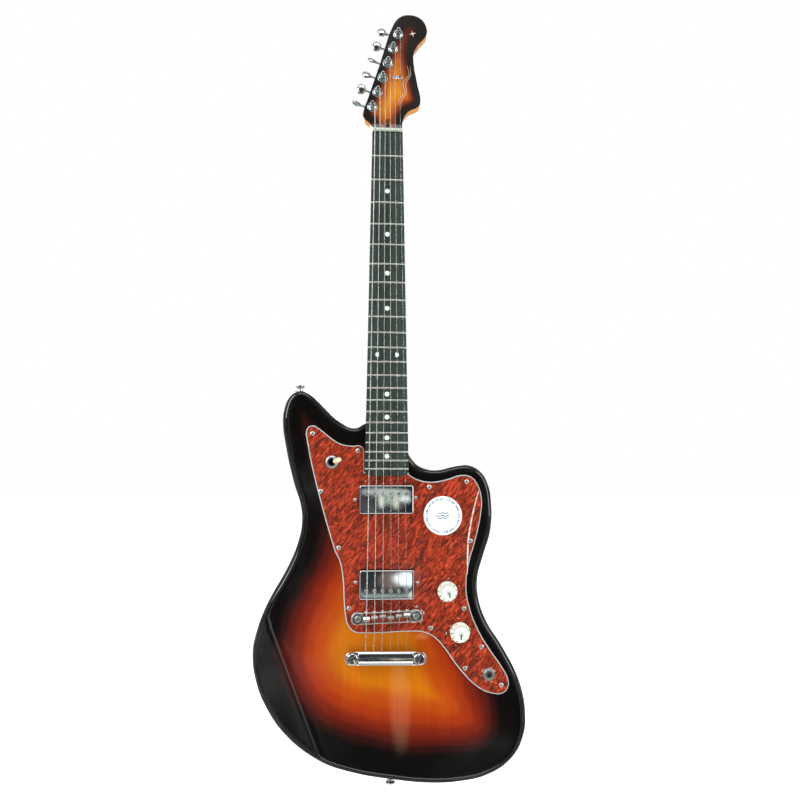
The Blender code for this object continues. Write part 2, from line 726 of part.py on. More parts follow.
def toggle_lean():
    """The direction across the face in which the switch lever leans at rest."""
    return Vector((math.cos(TOGGLE_SWING), 0.0, math.sin(TOGGLE_SWING)))


def make_toggle(steel, cream):
    """Three-way switch: its frame and ring nut, and the lever that swings in it."""
    profile = ((5.0, -3.2), (5.0, 6.2), (6.6, 6.2), (8.9, 5.0), (8.9, 2.8), (6.2, 2.8),
               (6.2, -3.2))
    profile = profile + (profile[0],)
    switch = turned("toggle_switch", profile, place(at(*TOGGLE)), steps=20)
    turn = Matrix.Rotation(TOGGLE_SWING, 4, "Z")
    frame = box("toggle_frame", (15.0, 34.0, 26.0), place(at(*TOGGLE, -15.7)) @ turn, CUTTERS)
    room = box("toggle_room", (11.0, 26.0, 8.0), place(at(*TOGGLE, -5.0)) @ turn, CUTTERS)
    join(switch, frame)
    cut(switch, room)
    paint(switch, steel)
    forward = Vector((0.0, -1.0, 0.0))
    axis = toggle_lean().cross(forward)
    lean = Matrix.Rotation(-TOGGLE_TILT, 4, axis)
    profile = ((0.0, 28.0), (1.8, 27.4), (3.0, 25.6), (3.3, 22.5), (3.3, 12.0), (2.6, 9.6),
               (1.5, 9.0), (1.5, 3.0), (2.2, 1.6), (2.2, -1.4), (0.0, -2.2))
    lever = turned("toggle_lever", profile,
                   Matrix.Translation(at(*TOGGLE)) @ lean @ FACE_FORWARD, steps=14)
    paint(lever, cream)


def make_jack(steel):
    """The output socket, a tube closed at its far end, and the ring nut in front of it."""
    profile = ((0.0, -22.0), (3.5, -22.0), (3.5, 5.4), (4.9, 5.4), (4.9, -1.0), (8.6, -1.0),
               (8.6, -23.6), (0.0, -23.6))
    paint(turned("output_jack", profile, place(at(*JACK)), steps=18), steel)
    ring = ((5.2, 2.8), (5.2, 4.6), (6.6, 4.6), (6.9, 4.2), (6.9, 2.8), (5.2, 2.8))
    paint(turned("jack_nut", ring, place(at(*JACK)), steps=18), steel)


# ---------------------------------------------------------------------------------------------
# Bridge, tailpiece and strings
# ---------------------------------------------------------------------------------------------


def make_bridge(steel):
    """The bridge frame with its long well, two threaded posts and six sliding saddles."""
    bass, treble = Vector(BRIDGE_POST_BASS), Vector(BRIDGE_POST_TREBLE)
    half = (treble - bass).length / 2
    outline = []
    for side in (1, -1):
        for i in range(9):
            turn = math.radians(-58 + 116 * i / 8) + (0 if side > 0 else math.pi)
            outline.append((side * half + BRIDGE_END_RADIUS * math.cos(turn),
                            BRIDGE_END_RADIUS * math.sin(turn)))
    holes = [circle_points(side * half, 0.0, 4.2, 16) for side in (1, -1)]
    holes.append([(-31.2, -5.7), (31.2, -5.7), (31.2, 5.7), (-31.2, 5.7)])
    frame = plate("bridge_frame", outline, BRIDGE_BAR_HEIGHT / 2, -BRIDGE_BAR_HEIGHT / 2, holes,
                  smooth=False, matrix=bridge_place() @ shifted(0.0, 0.0, BRIDGE_BAR_F))
    for number in range(1, 7):
        join(frame, rod(f"intonation_screw_{number}", INTONATION_SCREW_RADIUS, -9.2, 6.4,
                        intonation_place(number), CUTTERS, sides=8))
    paint(frame, steel)
    post = ((0.0, 15.2), (3.2, 15.2), (3.7, 14.6), (3.7, 8.1), (8.2, 8.1), (8.2, 6.8),
            (3.0, 6.8), (3.0, -20.0), (0.0, -20.0))
    for side, spot in (("bass", BRIDGE_POST_BASS), ("treble", BRIDGE_POST_TREBLE)):
        paint(turned(f"bridge_post_{side}", post, place(at(*spot))), steel)
    for number, diameter in enumerate(STRING_DIAMETERS, 1):
        make_saddle(number, diameter, steel)


def make_saddle(number, diameter, steel):
    """One saddle: a block whose roof comes to a ridge just under its string."""
    x = string_x(number, BRIDGE_STRING_SPACING)
    ridge = SADDLE_STRING_F - crown_drop(x) - diameter / 2 - 0.42
    profile = [(-3.0, 8.9), (3.0, 8.9), (3.0, 12.6), (0.6, ridge), (-0.6, ridge), (-3.0, 12.6)]
    spot = shifted(x, SADDLE_OFFSETS[number - 1], 0.0)
    saddle = plate(f"saddle_{number}", profile, SADDLE_WIDTH / 2, -SADDLE_WIDTH / 2, smooth=False,
                   matrix=bridge_place() @ spot @ ALONG_BAR)
    bore = rod(f"saddle_bore_{number}", INTONATION_SCREW_RADIUS + 0.4, -9.0, 9.0,
               intonation_place(number), CUTTERS, sides=8)
    paint(cut(saddle, bore), steel)


def intonation_place(number):
    """The axis of a saddle's long screw: local -Z points up the neck, where its head is."""
    spot = shifted(string_x(number, BRIDGE_STRING_SPACING), 0.0, INTONATION_SCREW_F)
    return bridge_place() @ spot @ Matrix.Rotation(math.pi / 2, 4, "X")


def make_tailpiece(steel):
    """A stop bar hooked on two slotted studs, bored through for the strings' ball ends."""
    length, width = TAIL_SIZE
    bass, treble = Vector(TAIL_STUD_BASS), Vector(TAIL_STUD_TREBLE)
    half = (treble - bass).length / 2
    ear, neck = width / 2, 3.9
    outline = []
    for side in (1, -1):
        arc = [(side * (length / 2 - ear) + side * ear * math.sin(t), -side * ear * math.cos(t))
               for t in [math.pi * i / 10 for i in range(11)]]
        outline += arc
    bar = plate("tailpiece_bar", outline, TAIL_BAR_HEIGHT / 2, -TAIL_BAR_HEIGHT / 2,
                smooth=False, matrix=tail_place() @ shifted(0.0, 0.0, TAIL_BAR_F))
    crown = [(-ear, 6.2), (ear, 6.2), (ear, 11.5)]
    crown += [(ear * math.cos(t), 11.5 + 4.0 * math.sin(t))
              for t in [math.pi * i / 10 for i in range(1, 11)]]
    hump = plate("tailpiece_hump", crown, TAIL_HUMP_HALF_LENGTH, -TAIL_HUMP_HALF_LENGTH,
                 smooth=False,
                 matrix=tail_place() @ ALONG_BAR, group=CUTTERS)
    join(bar, hump)
    for side in (1, -1):
        hook = box(f"tail_hook_{side}", (2 * neck, 16.0, 20.0),
                   tail_place() @ shifted(side * half, 8.0, 9.0),
                   CUTTERS)
        seat = rod(f"tail_seat_{side}", neck, -2.0, 20.0,
                   tail_place() @ shifted(side * half, 0.0, 0.0),
                   CUTTERS, sides=20)
        cut(bar, hook, seat)
    for number in range(1, 7):
        start = shifted(string_x(number, BRIDGE_STRING_SPACING), 0.0, TAIL_STRING_F)
        along = Matrix.Rotation(math.pi / 2, 4, "X")
        cut(bar, rod(f"string_bore_{number}", 1.6, -12.0, 12.0, tail_place() @ start @ along,
                     CUTTERS, sides=8))
    paint(bar, steel)
    for name, spot, angle in (("bass", TAIL_STUD_BASS, 6.0), ("treble", TAIL_STUD_TREBLE, 62.0)):
        make_tail_stud(name, spot, angle, steel)


def make_tail_stud(side, spot, slot_angle, steel):
    profile = ((0.0, 17.2), (6.4, 17.2), (7.2, 16.2), (7.2, 13.6), (3.5, 13.6), (3.5, 5.6),
               (6.4, 5.6), (6.4, 3.2), (5.6, 3.2), (5.6, -22.0), (0.0, -22.0))
    stud = turned(f"tailpiece_stud_{side}", profile, place(at(*spot)), steps=14)
    slot = box(f"stud_slot_{side}", (20.0, 2.0, 3.0),
               place(at(*spot, 17.2)) @ Matrix.Rotation(math.radians(slot_angle), 4, "Z"),
               CUTTERS)
    paint(cut(stud, slot), steel)


def string_path(number):
    """A string from its ball end, over saddle and nut, to one loose turn round its post."""
    diameter = STRING_DIAMETERS[number - 1]
    tail = tail_place()
    x = string_x(number, BRIDGE_STRING_SPACING)
    far = tail @ (Vector((x, -7.0, TAIL_STRING_F)) * MM)
    mouth = tail @ (Vector((x, 8.8, TAIL_STRING_F)) * MM)
    nut_x = string_x(number, NUT_STRING_SPACING)
    nut_f = NUT_STRING_F - crown_drop(nut_x)
    points = [far, mouth, saddle_point(number), at(nut_x, 0.0, nut_f),
              at(nut_x, NUT_THICKNESS + 0.3, nut_f)]
    post = tuner_place(number).translation / MM
    radius = 2.6 + GAP + diameter / 2
    if number <= 2:
        points.append(at(nut_x + (post.x + radius - nut_x) * 0.7, TREE[1], WINDING_F - 1.7))
    for i in range(WINDING_POINTS):
        turn = 2 * math.pi * i / WINDING_POINTS
        drop = (diameter + 0.12) * i / WINDING_POINTS
        points.append(at(post.x + radius * math.cos(turn), post.z + radius * math.sin(turn),
                         WINDING_F - drop))
    return points


def make_strings(steel, wound):
    for number, diameter in enumerate(STRING_DIAMETERS, 1):
        wire = tube(f"string_{number}", string_path(number), diameter / 2)
        paint(wire, steel if number <= 3 else wound)


# ---------------------------------------------------------------------------------------------
# Machine heads
# ---------------------------------------------------------------------------------------------


def make_tuner_housing(coat):
    """The cast gear case behind the headstock, with its bush through it: bored and hollow."""
    here = Matrix.Identity(4)
    back = -HEADSTOCK_THICKNESS - GAP
    case = box("tuner_housing_1", (17.0, 21.0, 11.6),
               place(Vector((0.8, -2.6, back - 5.8)) * MM, here), bevel=1.8)
    bush = rod("tuner_bush", 4.9, back - 1.0, 1.9, here, CUTTERS, sides=14)
    bore = rod("tuner_post_bore", 3.5, back - 4.0, 4.0, here, CUTTERS, sides=14)
    wheel_room = rod("tuner_wheel_room", 5.1, -WORM_DEPTH - 2.5, -WORM_DEPTH + 2.5, here, CUTTERS,
                     sides=14)
    sideways = Matrix.Rotation(math.pi / 2, 4, "Y")
    worm_axis = shifted(0.0, -WORM_OFFSET, -WORM_DEPTH) @ sideways
    worm_room = rod("tuner_worm_room", 2.7, -5.8, 5.8, worm_axis, CUTTERS, sides=10)
    shaft_bore = rod("tuner_shaft_bore", 2.2, 5.0, 12.0, worm_axis, CUTTERS, sides=10)
    join(case, bush)
    cut(case, bore, wheel_room, worm_room, shaft_bore)
    return paint(settle(case), coat)


def make_tuner_post(coat):
    """A string post turned in one piece with its worm wheel."""
    wheel_top, wheel_bottom = -WORM_DEPTH + 2.0, -WORM_DEPTH - 2.0
    profile = ((0.0, 12.8), (2.3, 12.8), (2.9, 12.1), (2.9, 10.0), (2.6, 8.6), (2.6, 5.2),
               (3.05, 4.2), (3.05, wheel_top), (4.5, wheel_top), (4.5, wheel_bottom),
               (0.0, wheel_bottom))
    return paint(turned("tuner_post_1", profile, Matrix.Identity(4), steps=10), coat)


def make_tuner_button(coat):
    """The worm, its shaft and the oval button that the fingers turn, along local +X."""
    sideways = Matrix.Rotation(math.pi / 2, 4, "Y")
    profile = ((0.0, 24.0), (2.4, 24.0), (2.4, 18.8), (1.7, 17.6), (1.7, 5.2), (2.1, 5.0),
               (2.1, -5.0), (0.0, -5.0))
    shaft = turned("tuner_button_1", profile, sideways, steps=8)
    grip = bmesh.new()
    bmesh.ops.create_uvsphere(grip, u_segments=12, v_segments=7, radius=1.0)
    for corner in grip.verts:
        flat = 1.0 - 0.25 * corner.co.y**2
        corner.co = (corner.co.x * 6.6 + 26.0, corner.co.y * 8.8, corner.co.z * 3.4 * flat)
    grip_object = new_object("tuner_grip", mesh_from(grip, "tuner_grip"), Matrix.Identity(4),
                             CUTTERS)
    return paint(settle(join(shaft, grip_object)), coat)


def make_tuners(chrome):
    """Six machine heads that share three meshes; each has its own place on the headstock."""
    housing = make_tuner_housing(chrome)
    post = make_tuner_post(chrome)
    button = make_tuner_button(chrome)
    worm = shifted(0.0, -WORM_OFFSET, -WORM_DEPTH)
    for number in range(1, TUNER_COUNT + 1):
        spot = empty(f"tuner_{number}_place", tuner_place(number))
        turn = Matrix.Rotation(math.radians(TUNER_BUTTON_TURNS[number - 1]), 4, "X")
        for first, local in ((housing, Matrix.Identity(4)), (post, Matrix.Identity(4)),
                             (button, worm @ turn)):
            piece = first
            if number > 1:
                piece = new_object(first.name.replace("_1", f"_{number}"), first.data, local)
            piece.parent = spot
            piece.matrix_parent_inverse = Matrix.Identity(4)
            piece.matrix_basis = local


# ---------------------------------------------------------------------------------------------


def main():
    clear_scene()
    sunburst = material("sunburst_lacquer", (0.42, 0.10, 0.01), 0.0, 0.12)
    maple = material("amber_maple", (0.62, 0.25, 0.04), 0.0, 0.25)
    rosewood = material("rosewood", (0.05, 0.032, 0.025), 0.0, 0.5)
    bone = material("bone_plastic", (0.88, 0.88, 0.84), 0.0, 0.35)
    tortoise = material("tortoiseshell", (0.36, 0.05, 0.025), 0.0, 0.15)
    chrome = material("chrome", (0.78, 0.79, 0.80), 1.0, 0.08)
    nickel = material("nickel_steel", (0.66, 0.65, 0.62), 1.0, 0.22)
    dark_steel = material("black_steel", (0.08, 0.08, 0.085), 1.0, 0.4)
    wound = material("wound_string", (0.55, 0.54, 0.52), 1.0, 0.35)
    white = material("white_plastic", (0.90, 0.92, 0.88), 0.0, 0.25)
    cream = material("cream_plastic", (0.90, 0.84, 0.62), 0.0, 0.3)
    black = material("black_plastic", (0.02, 0.02, 0.02), 0.0, 0.4)
    brown = material("brown_capacitor", (0.30, 0.12, 0.04), 0.0, 0.3)

    make_body(sunburst)
    make_neck(maple)
    make_fretboard(rosewood)
    make_string_nut(bone)
    make_truss_rod(nickel, dark_steel)
    make_neck_plate(chrome)
    make_strap_button("strap_button_horn", HORN_BUTTON, 1, chrome)
    make_strap_button("strap_button_tail", TAIL_BUTTON, -1, chrome)
    make_string_tree(chrome)
    make_pickguard(tortoise)
    make_pickup("neck_pickup", NECK_PICKUP, chrome, black)
    make_pickup("bridge_pickup", BRIDGE_PICKUP, chrome, black)
    make_pot("volume_pot", VOLUME_POT, nickel)
    make_knob("volume_knob", VOLUME_POT, white)
    make_pot("tone_pot", TONE_POT, nickel)
    make_knob("tone_knob", TONE_POT, white)
    make_capacitor(brown)
    make_toggle(nickel, cream)
    make_jack(nickel)
    make_bridge(nickel)
    make_tailpiece(chrome)
    make_strings(nickel, wound)
    make_tuners(chrome)


main()
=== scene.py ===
"""Electric guitar with an offset-waist body: its finished surfaces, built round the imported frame.

Shapes are drawn in millimetres and scaled once when they become objects; matrices are in metres.
+Z runs up the neck, the front faces -Y and +X is the treble side. A height "forward" is measured
from the body's top face towards the player's audience, so it is minus Y.
"""

import functools
import json
import math
import random

import bmesh
import bpy
import numpy as np
from bpy.props import FloatProperty, FloatVectorProperty, IntProperty, PointerProperty
from bpy.types import Operator, Panel, PropertyGroup
from mathutils import Matrix, Vector, geometry


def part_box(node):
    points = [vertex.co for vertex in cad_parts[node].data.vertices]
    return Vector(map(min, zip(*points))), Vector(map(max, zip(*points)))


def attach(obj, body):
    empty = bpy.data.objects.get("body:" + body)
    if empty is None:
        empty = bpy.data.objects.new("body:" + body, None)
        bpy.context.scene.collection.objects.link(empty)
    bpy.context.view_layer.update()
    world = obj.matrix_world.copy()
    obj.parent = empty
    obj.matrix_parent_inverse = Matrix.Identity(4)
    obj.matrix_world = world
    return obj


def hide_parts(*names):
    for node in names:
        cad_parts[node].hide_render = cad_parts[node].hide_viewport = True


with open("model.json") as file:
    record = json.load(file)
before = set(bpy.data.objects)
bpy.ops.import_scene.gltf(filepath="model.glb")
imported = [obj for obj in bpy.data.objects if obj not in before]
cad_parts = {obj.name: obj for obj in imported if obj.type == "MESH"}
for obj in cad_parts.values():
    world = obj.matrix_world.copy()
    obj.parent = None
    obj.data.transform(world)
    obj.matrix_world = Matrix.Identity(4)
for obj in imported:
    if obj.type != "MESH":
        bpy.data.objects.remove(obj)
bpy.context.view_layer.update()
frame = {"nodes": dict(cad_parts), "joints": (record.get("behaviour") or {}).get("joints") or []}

bl_info = {
    "name": "Offset Electric Guitar",
    "version": (1, 0, 0),
    "blender": (4, 5, 0),
    "location": "View3D > Sidebar > Guitar",
    "description": "Adds the finished surfaces of an offset-waist electric guitar to its frame",
    "category": "Add Mesh",
}

MM = 0.001
SEED = 11
STRINGS = range(1, 7)

# Details that have no node of their own in the frame: places across and up, in millimetres
GUARD_SCREWS = (
    (-97.7, -419.3), (-37.7, -442.0), (-86.2, -495.1), (-62.0, -567.8), (-47.9, -644.5),
    (57.6, -670.5), (101.8, -721.3), (148.7, -743.0), (123.6, -695.0), (101.4, -646.4),
    (110.6, -559.9), (106.5, -482.5), (56.7, -489.4),
)
PICKUP_SCREWS = ((-41.3, -506.0), (38.6, -503.5), (-40.1, -612.0), (40.7, -613.0))
FILM_EDGE = (
    (122.8, -494.3), (117.7, -510.4), (111.4, -537.0), (107.6, -560.8), (106.5, -587.1),
    (106.0, -602.8),
)
STICKER = (74.4, -526.9)
SINGLE_DOTS = (3, 5, 7, 9, 15, 17, 19, 21)
DOUBLE_DOT = 12
FOREARM_CREASE = ((-152.0, -656.0), (-90.0, -806.0))
FOREARM_TILT = math.radians(13.0)
BELLY_CENTRE = (-150.0, -530.0, -86.0)
BELLY_RADII = (110.0, 150.0, 60.0)
BUTTON_TURNS = (20.0, 4.0, 52.0, 33.0, 0.0, 84.0)
STUD_SLOT_TURNS = {"bass": 6.0, "treble": 62.0}
HEAD_FACE = 0.5


def shade(red, green, blue):
    """A colour picked on a 0 to 255 display scale, as Blender's linear values."""
    def linear(value):
        share = value / 255
        return share / 12.92 if share <= 0.04045 else ((share + 0.055) / 1.055) ** 2.4
    return (linear(red), linear(green), linear(blue), 1.0)


# ---------------------------------------------------------------------------------------------
# What a user would change
# ---------------------------------------------------------------------------------------------


def length(name, description, millimetres):
    return FloatProperty(name=name, description=description, default=millimetres * MM,
                         min=0.0, subtype="DISTANCE", unit="LENGTH")


def tint(name, description, red, green, blue):
    return FloatVectorProperty(name=name, description=description, size=4, subtype="COLOR",
                               min=0.0, max=1.0, default=shade(red, green, blue))


class GuitarSizes(PropertyGroup):
    """Sizes of the finished pieces."""

    scale_length: length("Scale Length", "Nut to the twelfth fret, doubled", 647.7)
    frets: IntProperty(name="Frets", description="How many frets the board carries",
                       default=22, min=12, max=24)
    board_radius: length("Board Radius", "Radius of the fretboard's crown", 241.0)
    nut_spacing: length("Nut Spacing", "Between neighbouring strings at the nut", 6.98)
    bridge_spacing: length("Bridge Spacing", "Between neighbouring strings at the bridge", 10.4)
    fret_width: length("Fret Width", "Width of the fret wire's crown", 2.3)
    fret_height: length("Fret Height", "Height of the fret wire above the board", 1.05)
    dot_radius: length("Dot Radius", "Radius of the position dots", 3.2)
    edge_radius: length("Body Edge Radius", "Rounding along the body's front and back", 8.0)
    guard_bevel: length("Guard Bevel", "Width of the pickguard's bevelled edge", 1.3)
    sticker_radius: length("Sticker Radius", "Radius of the round sticker on the film", 25.4)


class GuitarColours(PropertyGroup):
    """Colours of the finishes."""

    amber: tint("Amber", "Middle of the burst", 198, 110, 14)
    red_brown: tint("Red Brown", "Band between amber and black", 118, 34, 18)
    burst_black: tint("Burst Black", "Outer edge of the burst", 13, 11, 10)
    neck_amber: tint("Neck Amber", "Tinted maple of neck and headstock", 206, 132, 40)
    rosewood: tint("Rosewood", "Fretboard wood", 44, 56, 50)
    shell_light: tint("Shell Light", "Light flame of the pickguard", 202, 76, 50)
    shell_dark: tint("Shell Dark", "Dark flame of the pickguard", 74, 44, 36)
    plastic_white: tint("Plastic White", "Knobs and plies", 236, 240, 226)
    switch_cream: tint("Switch Cream", "Tip of the pickup switch", 232, 222, 182)
    pearl: tint("Pearl", "Position dots", 226, 238, 230)
    print_green: tint("Print Green", "Numbers on the knobs", 46, 104, 56)
    sticker_blue: tint("Sticker Blue", "Ring printed on the sticker", 36, 80, 118)


def size(name):
    """A size property in millimetres."""
    return getattr(bpy.context.scene.guitar_sizes, name) / MM


def colour(name):
    return tuple(getattr(bpy.context.scene.guitar_colours, name))


# ---------------------------------------------------------------------------------------------
# Places read from the frame
# ---------------------------------------------------------------------------------------------


def point(x, z, forward=0.0):
    """A point in millimetres from its place across, up and forward of the body's top face."""
    return Vector((x, -forward, z))


FACE_FORWARD = Matrix.Rotation(math.pi / 2, 4, "X")
UPRIGHT = Matrix.Identity(4)


def place(spot, turn=FACE_FORWARD):
    """A matrix in metres for a spot in millimetres; the usual turn makes local +Z look forward."""
    return Matrix.Translation(spot * MM) @ turn


def move(x, y, z=0.0, turn=UPRIGHT):
    """A matrix in millimetres, for moves inside one piece's own frame."""
    return Matrix.Translation((x, y, z)) @ turn


def spin(degrees, axis="Z"):
    return Matrix.Rotation(math.radians(degrees), 4, axis)


@functools.cache
def span(node):
    """A node's box in millimetres: lowest and highest corner."""
    low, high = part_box(node)
    return low / MM, high / MM


def middle(node):
    """Where a node's middle lies across and up."""
    low, high = span(node)
    centre = (low + high) / 2
    return centre.x, centre.z


def front(node):
    return -span(node)[0].y


def back(node):
    return -span(node)[1].y


def fret_z(number):
    return -size("scale_length") * (1 - 2 ** (-number / 12))


def board_half_width(z):
    """Half the fretboard's width at a height z, from its two ends in the frame."""
    nut_half = (span("string_nut")[1].x - span("string_nut")[0].x) / 2
    low, high = span("fretboard")
    return nut_half + ((high.x - low.x) / 2 - nut_half) * z / (low.z + 8.0)


def crown_drop(x):
    radius = size("board_radius")
    return radius - math.sqrt(radius**2 - x**2)


def string_x(number, spacing):
    """Where string 1, the treble E, to string 6, the bass E, lies across."""
    return (3.5 - number) * spacing


def string_radius(number):
    return (0.25, 0.33, 0.43, 0.66, 0.91, 1.17)[number - 1] / 2


def string_forward(number):
    """Height of a string's centre line over the nut."""
    return 13.2 - crown_drop(string_x(number, size("nut_spacing")))


def place_between(first, second):
    """The frame midway between two nodes: local +X runs to the second, +Y up the neck."""
    start, end = Vector(middle(first)), Vector(middle(second))
    centre = (start + end) / 2
    slope = math.atan2(end.y - start.y, end.x - start.x)
    return place(point(centre.x, centre.y)) @ Matrix.Rotation(slope, 4, "Z")


def bridge_place():
    return place_between("bridge_post_bass", "bridge_post_treble")


def tail_place():
    return place_between("tailpiece_stud_bass", "tailpiece_stud_treble")


def shifted(x, y, z):
    """A move by millimetres inside a frame given in metres."""
    return Matrix.Translation(Vector((x, y, z)) * MM)


def tuner_place(number):
    """Where a machine head sits: local +Z forward, local +X out towards its button."""
    first, last = Vector(middle("tuner_post_1")), Vector(middle("tuner_post_6"))
    along = (first - last).normalized()
    out = Vector((-along.y, 0.0, along.x))
    forward = Vector((0.0, -1.0, 0.0))
    side = forward.cross(out)
    turn = Matrix((out, side, forward)).transposed().to_4x4()
    spot = Vector(middle(f"tuner_post_{number}"))
    return Matrix.Translation(point(spot.x, spot.y, HEAD_FACE) * MM) @ turn


# ---------------------------------------------------------------------------------------------
# Shapes
# ---------------------------------------------------------------------------------------------


def mesh_object(name, shape, matrix=UPRIGHT, sharp=35.0):
    """Ends a shape drawn in millimetres as an object whose matrix is in metres."""
    bmesh.ops.recalc_face_normals(shape, faces=shape.faces)
    bmesh.ops.scale(shape, vec=(MM, MM, MM), verts=shape.verts)
    made = bpy.data.meshes.new(name)
    shape.to_mesh(made)
    shape.free()
    made.shade_smooth()
    made.set_sharp_from_angle(angle=math.radians(sharp))
    thing = bpy.data.objects.new(name, made)
    bpy.context.scene.collection.objects.link(thing)
    thing.matrix_world = matrix
    return thing


def piece(name, shape, coats, matrix=UPRIGHT, body="root", stands_for=(), sharp=35.0):
    """One finished piece: its mesh, its materials, the body it rides on and what it replaces."""
    thing = mesh_object(name, shape, matrix, sharp)
    for coat in coats if isinstance(coats, (list, tuple)) else (coats,):
        thing.data.materials.append(coat)
    weighted = thing.modifiers.new("weighted_normals", "WEIGHTED_NORMAL")
    weighted.keep_sharp = True
    weighted.weight = 100
    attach(thing, body)
    if stands_for:
        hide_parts(*stands_for)
    return thing


def dress(node, coat, sharp=35.0):
    """Gives a node of the frame its finish and smooth faces."""
    thing = frame["nodes"][node]
    thing.data.materials.clear()
    thing.data.materials.append(coat)
    thing.data.shade_smooth()
    thing.data.set_sharp_from_angle(angle=math.radians(sharp))


def bridge_rings(shape, low, high, coat=0):
    """Joins two rings of corners with faces; either may be a single corner."""
    for i in range(max(len(low), len(high))):
        corners = (low[i % len(low)], low[(i + 1) % len(low)],
                   high[(i + 1) % len(high)], high[i % len(high)])
        corners = list(dict.fromkeys(corners))
        if len(corners) > 2:
            shape.faces.new(corners).material_index = coat


def lathe(profile, steps=48, ribs=None, coats=None):
    """A turned shape about its own Z axis from (radius, height) points.

    ribs is (low, high, depth) and grooves every other step between two heights. coats holds a
    material number for each band between two points. A profile that ends on its first point
    closes on itself.
    """
    shape = bmesh.new()
    closed = profile[0] == profile[-1]
    rings = []
    for radius, height in profile[:-1] if closed else profile:
        if radius < 1e-6:
            rings.append([shape.verts.new((0.0, 0.0, height))])
            continue
        ring = []
        for i in range(steps):
            turn = 2 * math.pi * i / steps
            groove = ribs[2] if ribs and i % 2 and ribs[0] <= height <= ribs[1] else 0.0
            reach = radius - groove
            ring.append(shape.verts.new((reach * math.cos(turn), reach * math.sin(turn), height)))
        rings.append(ring)
    if closed:
        rings.append(rings[0])
    for i, (low, high) in enumerate(zip(rings, rings[1:])):
        bridge_rings(shape, low, high, coats[i] if coats else 0)
    return shape


def rounded(points, radius, steps=3):
    """An open line of points with its inner corners filleted."""
    corners = [Vector(p) for p in points]
    made = [tuple(corners[0])]
    for before, corner, after in zip(corners, corners[1:], corners[2:]):
        back_way, on_way = before - corner, after - corner
        reach = min(radius, back_way.length * 0.45, on_way.length * 0.45)
        start = corner + back_way.normalized() * reach
        end = corner + on_way.normalized() * reach
        for i in range(steps + 1):
            t = i / steps
            made.append(tuple(start * (1 - t) ** 2 + corner * 2 * t * (1 - t) + end * t**2))
    made.append(tuple(corners[-1]))
    return made


def block(size_mm, bevel=0.0, segments=2):
    """A box centred on its own origin with rounded edges."""
    shape = bmesh.new()
    bmesh.ops.create_cube(shape, size=1.0)
    bmesh.ops.scale(shape, vec=size_mm, verts=shape.verts)
    if bevel:
        bmesh.ops.bevel(shape, geom=shape.edges[:], offset=bevel, segments=segments,
                        profile=0.5, affect="EDGES")
    return shape


def rod(radius, low, high, steps=32):
    """A plain bar about its own Z axis, with faintly eased ends."""
    ease = min(0.15, radius / 3)
    return lathe([(0.0, low), (radius - ease, low), (radius, low + ease), (radius, high - ease),
                  (radius - ease, high), (0.0, high)], steps)


def circle(x, y, radius, count=40):
    turns = [2 * math.pi * i / count for i in range(count)]
    return [(x + radius * math.cos(t), y + radius * math.sin(t)) for t in turns]


def rectangle(x, y, width, height, radius, steps=6):
    """Points round a rectangle with round corners."""
    points = []
    for quarter in range(4):
        sign_x = 1 if quarter in (0, 3) else -1
        sign_y = 1 if quarter in (0, 1) else -1
        for step in range(steps + 1):
            turn = math.pi / 2 * (quarter + step / steps)
            points.append((x + sign_x * (width / 2 - radius) + radius * math.cos(turn),
                           y + sign_y * (height / 2 - radius) + radius * math.sin(turn)))
    return points


def counter_clockwise(points):
    area = sum(a[0] * b[1] - b[0] * a[1] for a, b in zip(points, points[1:] + points[:1]))
    return list(points) if area > 0 else list(reversed(points))


def inset(points, distance):
    """A counter-clockwise outline moved inwards."""
    made = []
    count = len(points)
    for i in range(count):
        before, here, after = (Vector(points[i - 1]), Vector(points[i]),
                               Vector(points[(i + 1) % count]))
        first, second = (here - before).normalized(), (after - here).normalized()
        normal = Vector((-first.y - second.y, first.x + second.x))
        normal.normalize()
        stretch = max(0.6, normal.dot(Vector((-second.y, second.x))))
        made.append(tuple(here + normal * distance / stretch))
    return made


def edge_distances(points, loop):
    """How far each point lies from an outline."""
    spots = np.array(points, float).reshape(-1, 2)
    start = np.array(loop, float)
    step = np.roll(start, -1, axis=0) - start
    square = np.maximum((step**2).sum(axis=1), 1e-12)
    found = []
    for part in np.array_split(spots, max(1, len(spots) // 3000)):
        away = part[:, None, :] - start[None, :, :]
        share = np.clip((away * step).sum(axis=2) / square, 0.0, 1.0)
        gap = away - share[:, :, None] * step
        found.append(np.sqrt((gap**2).sum(axis=2)).min(axis=1))
    return np.concatenate(found)


def inside(points, loops):
    """Which points lie inside an outline and outside the holes in it."""
    spots = np.array(points, float).reshape(-1, 2)
    crossed = np.zeros(len(spots), int)
    for loop in loops:
        start = np.array(loop, float)
        end = np.roll(start, -1, axis=0)
        for (x0, y0), (x1, y1) in zip(start, end):
            if y0 == y1:
                continue
            spans = (spots[:, 1] > min(y0, y1)) & (spots[:, 1] <= max(y0, y1))
            crossing = x0 + (spots[:, 1] - y0) * (x1 - x0) / (y1 - y0)
            crossed += spans & (crossing > spots[:, 0])
    return crossed % 2 == 1


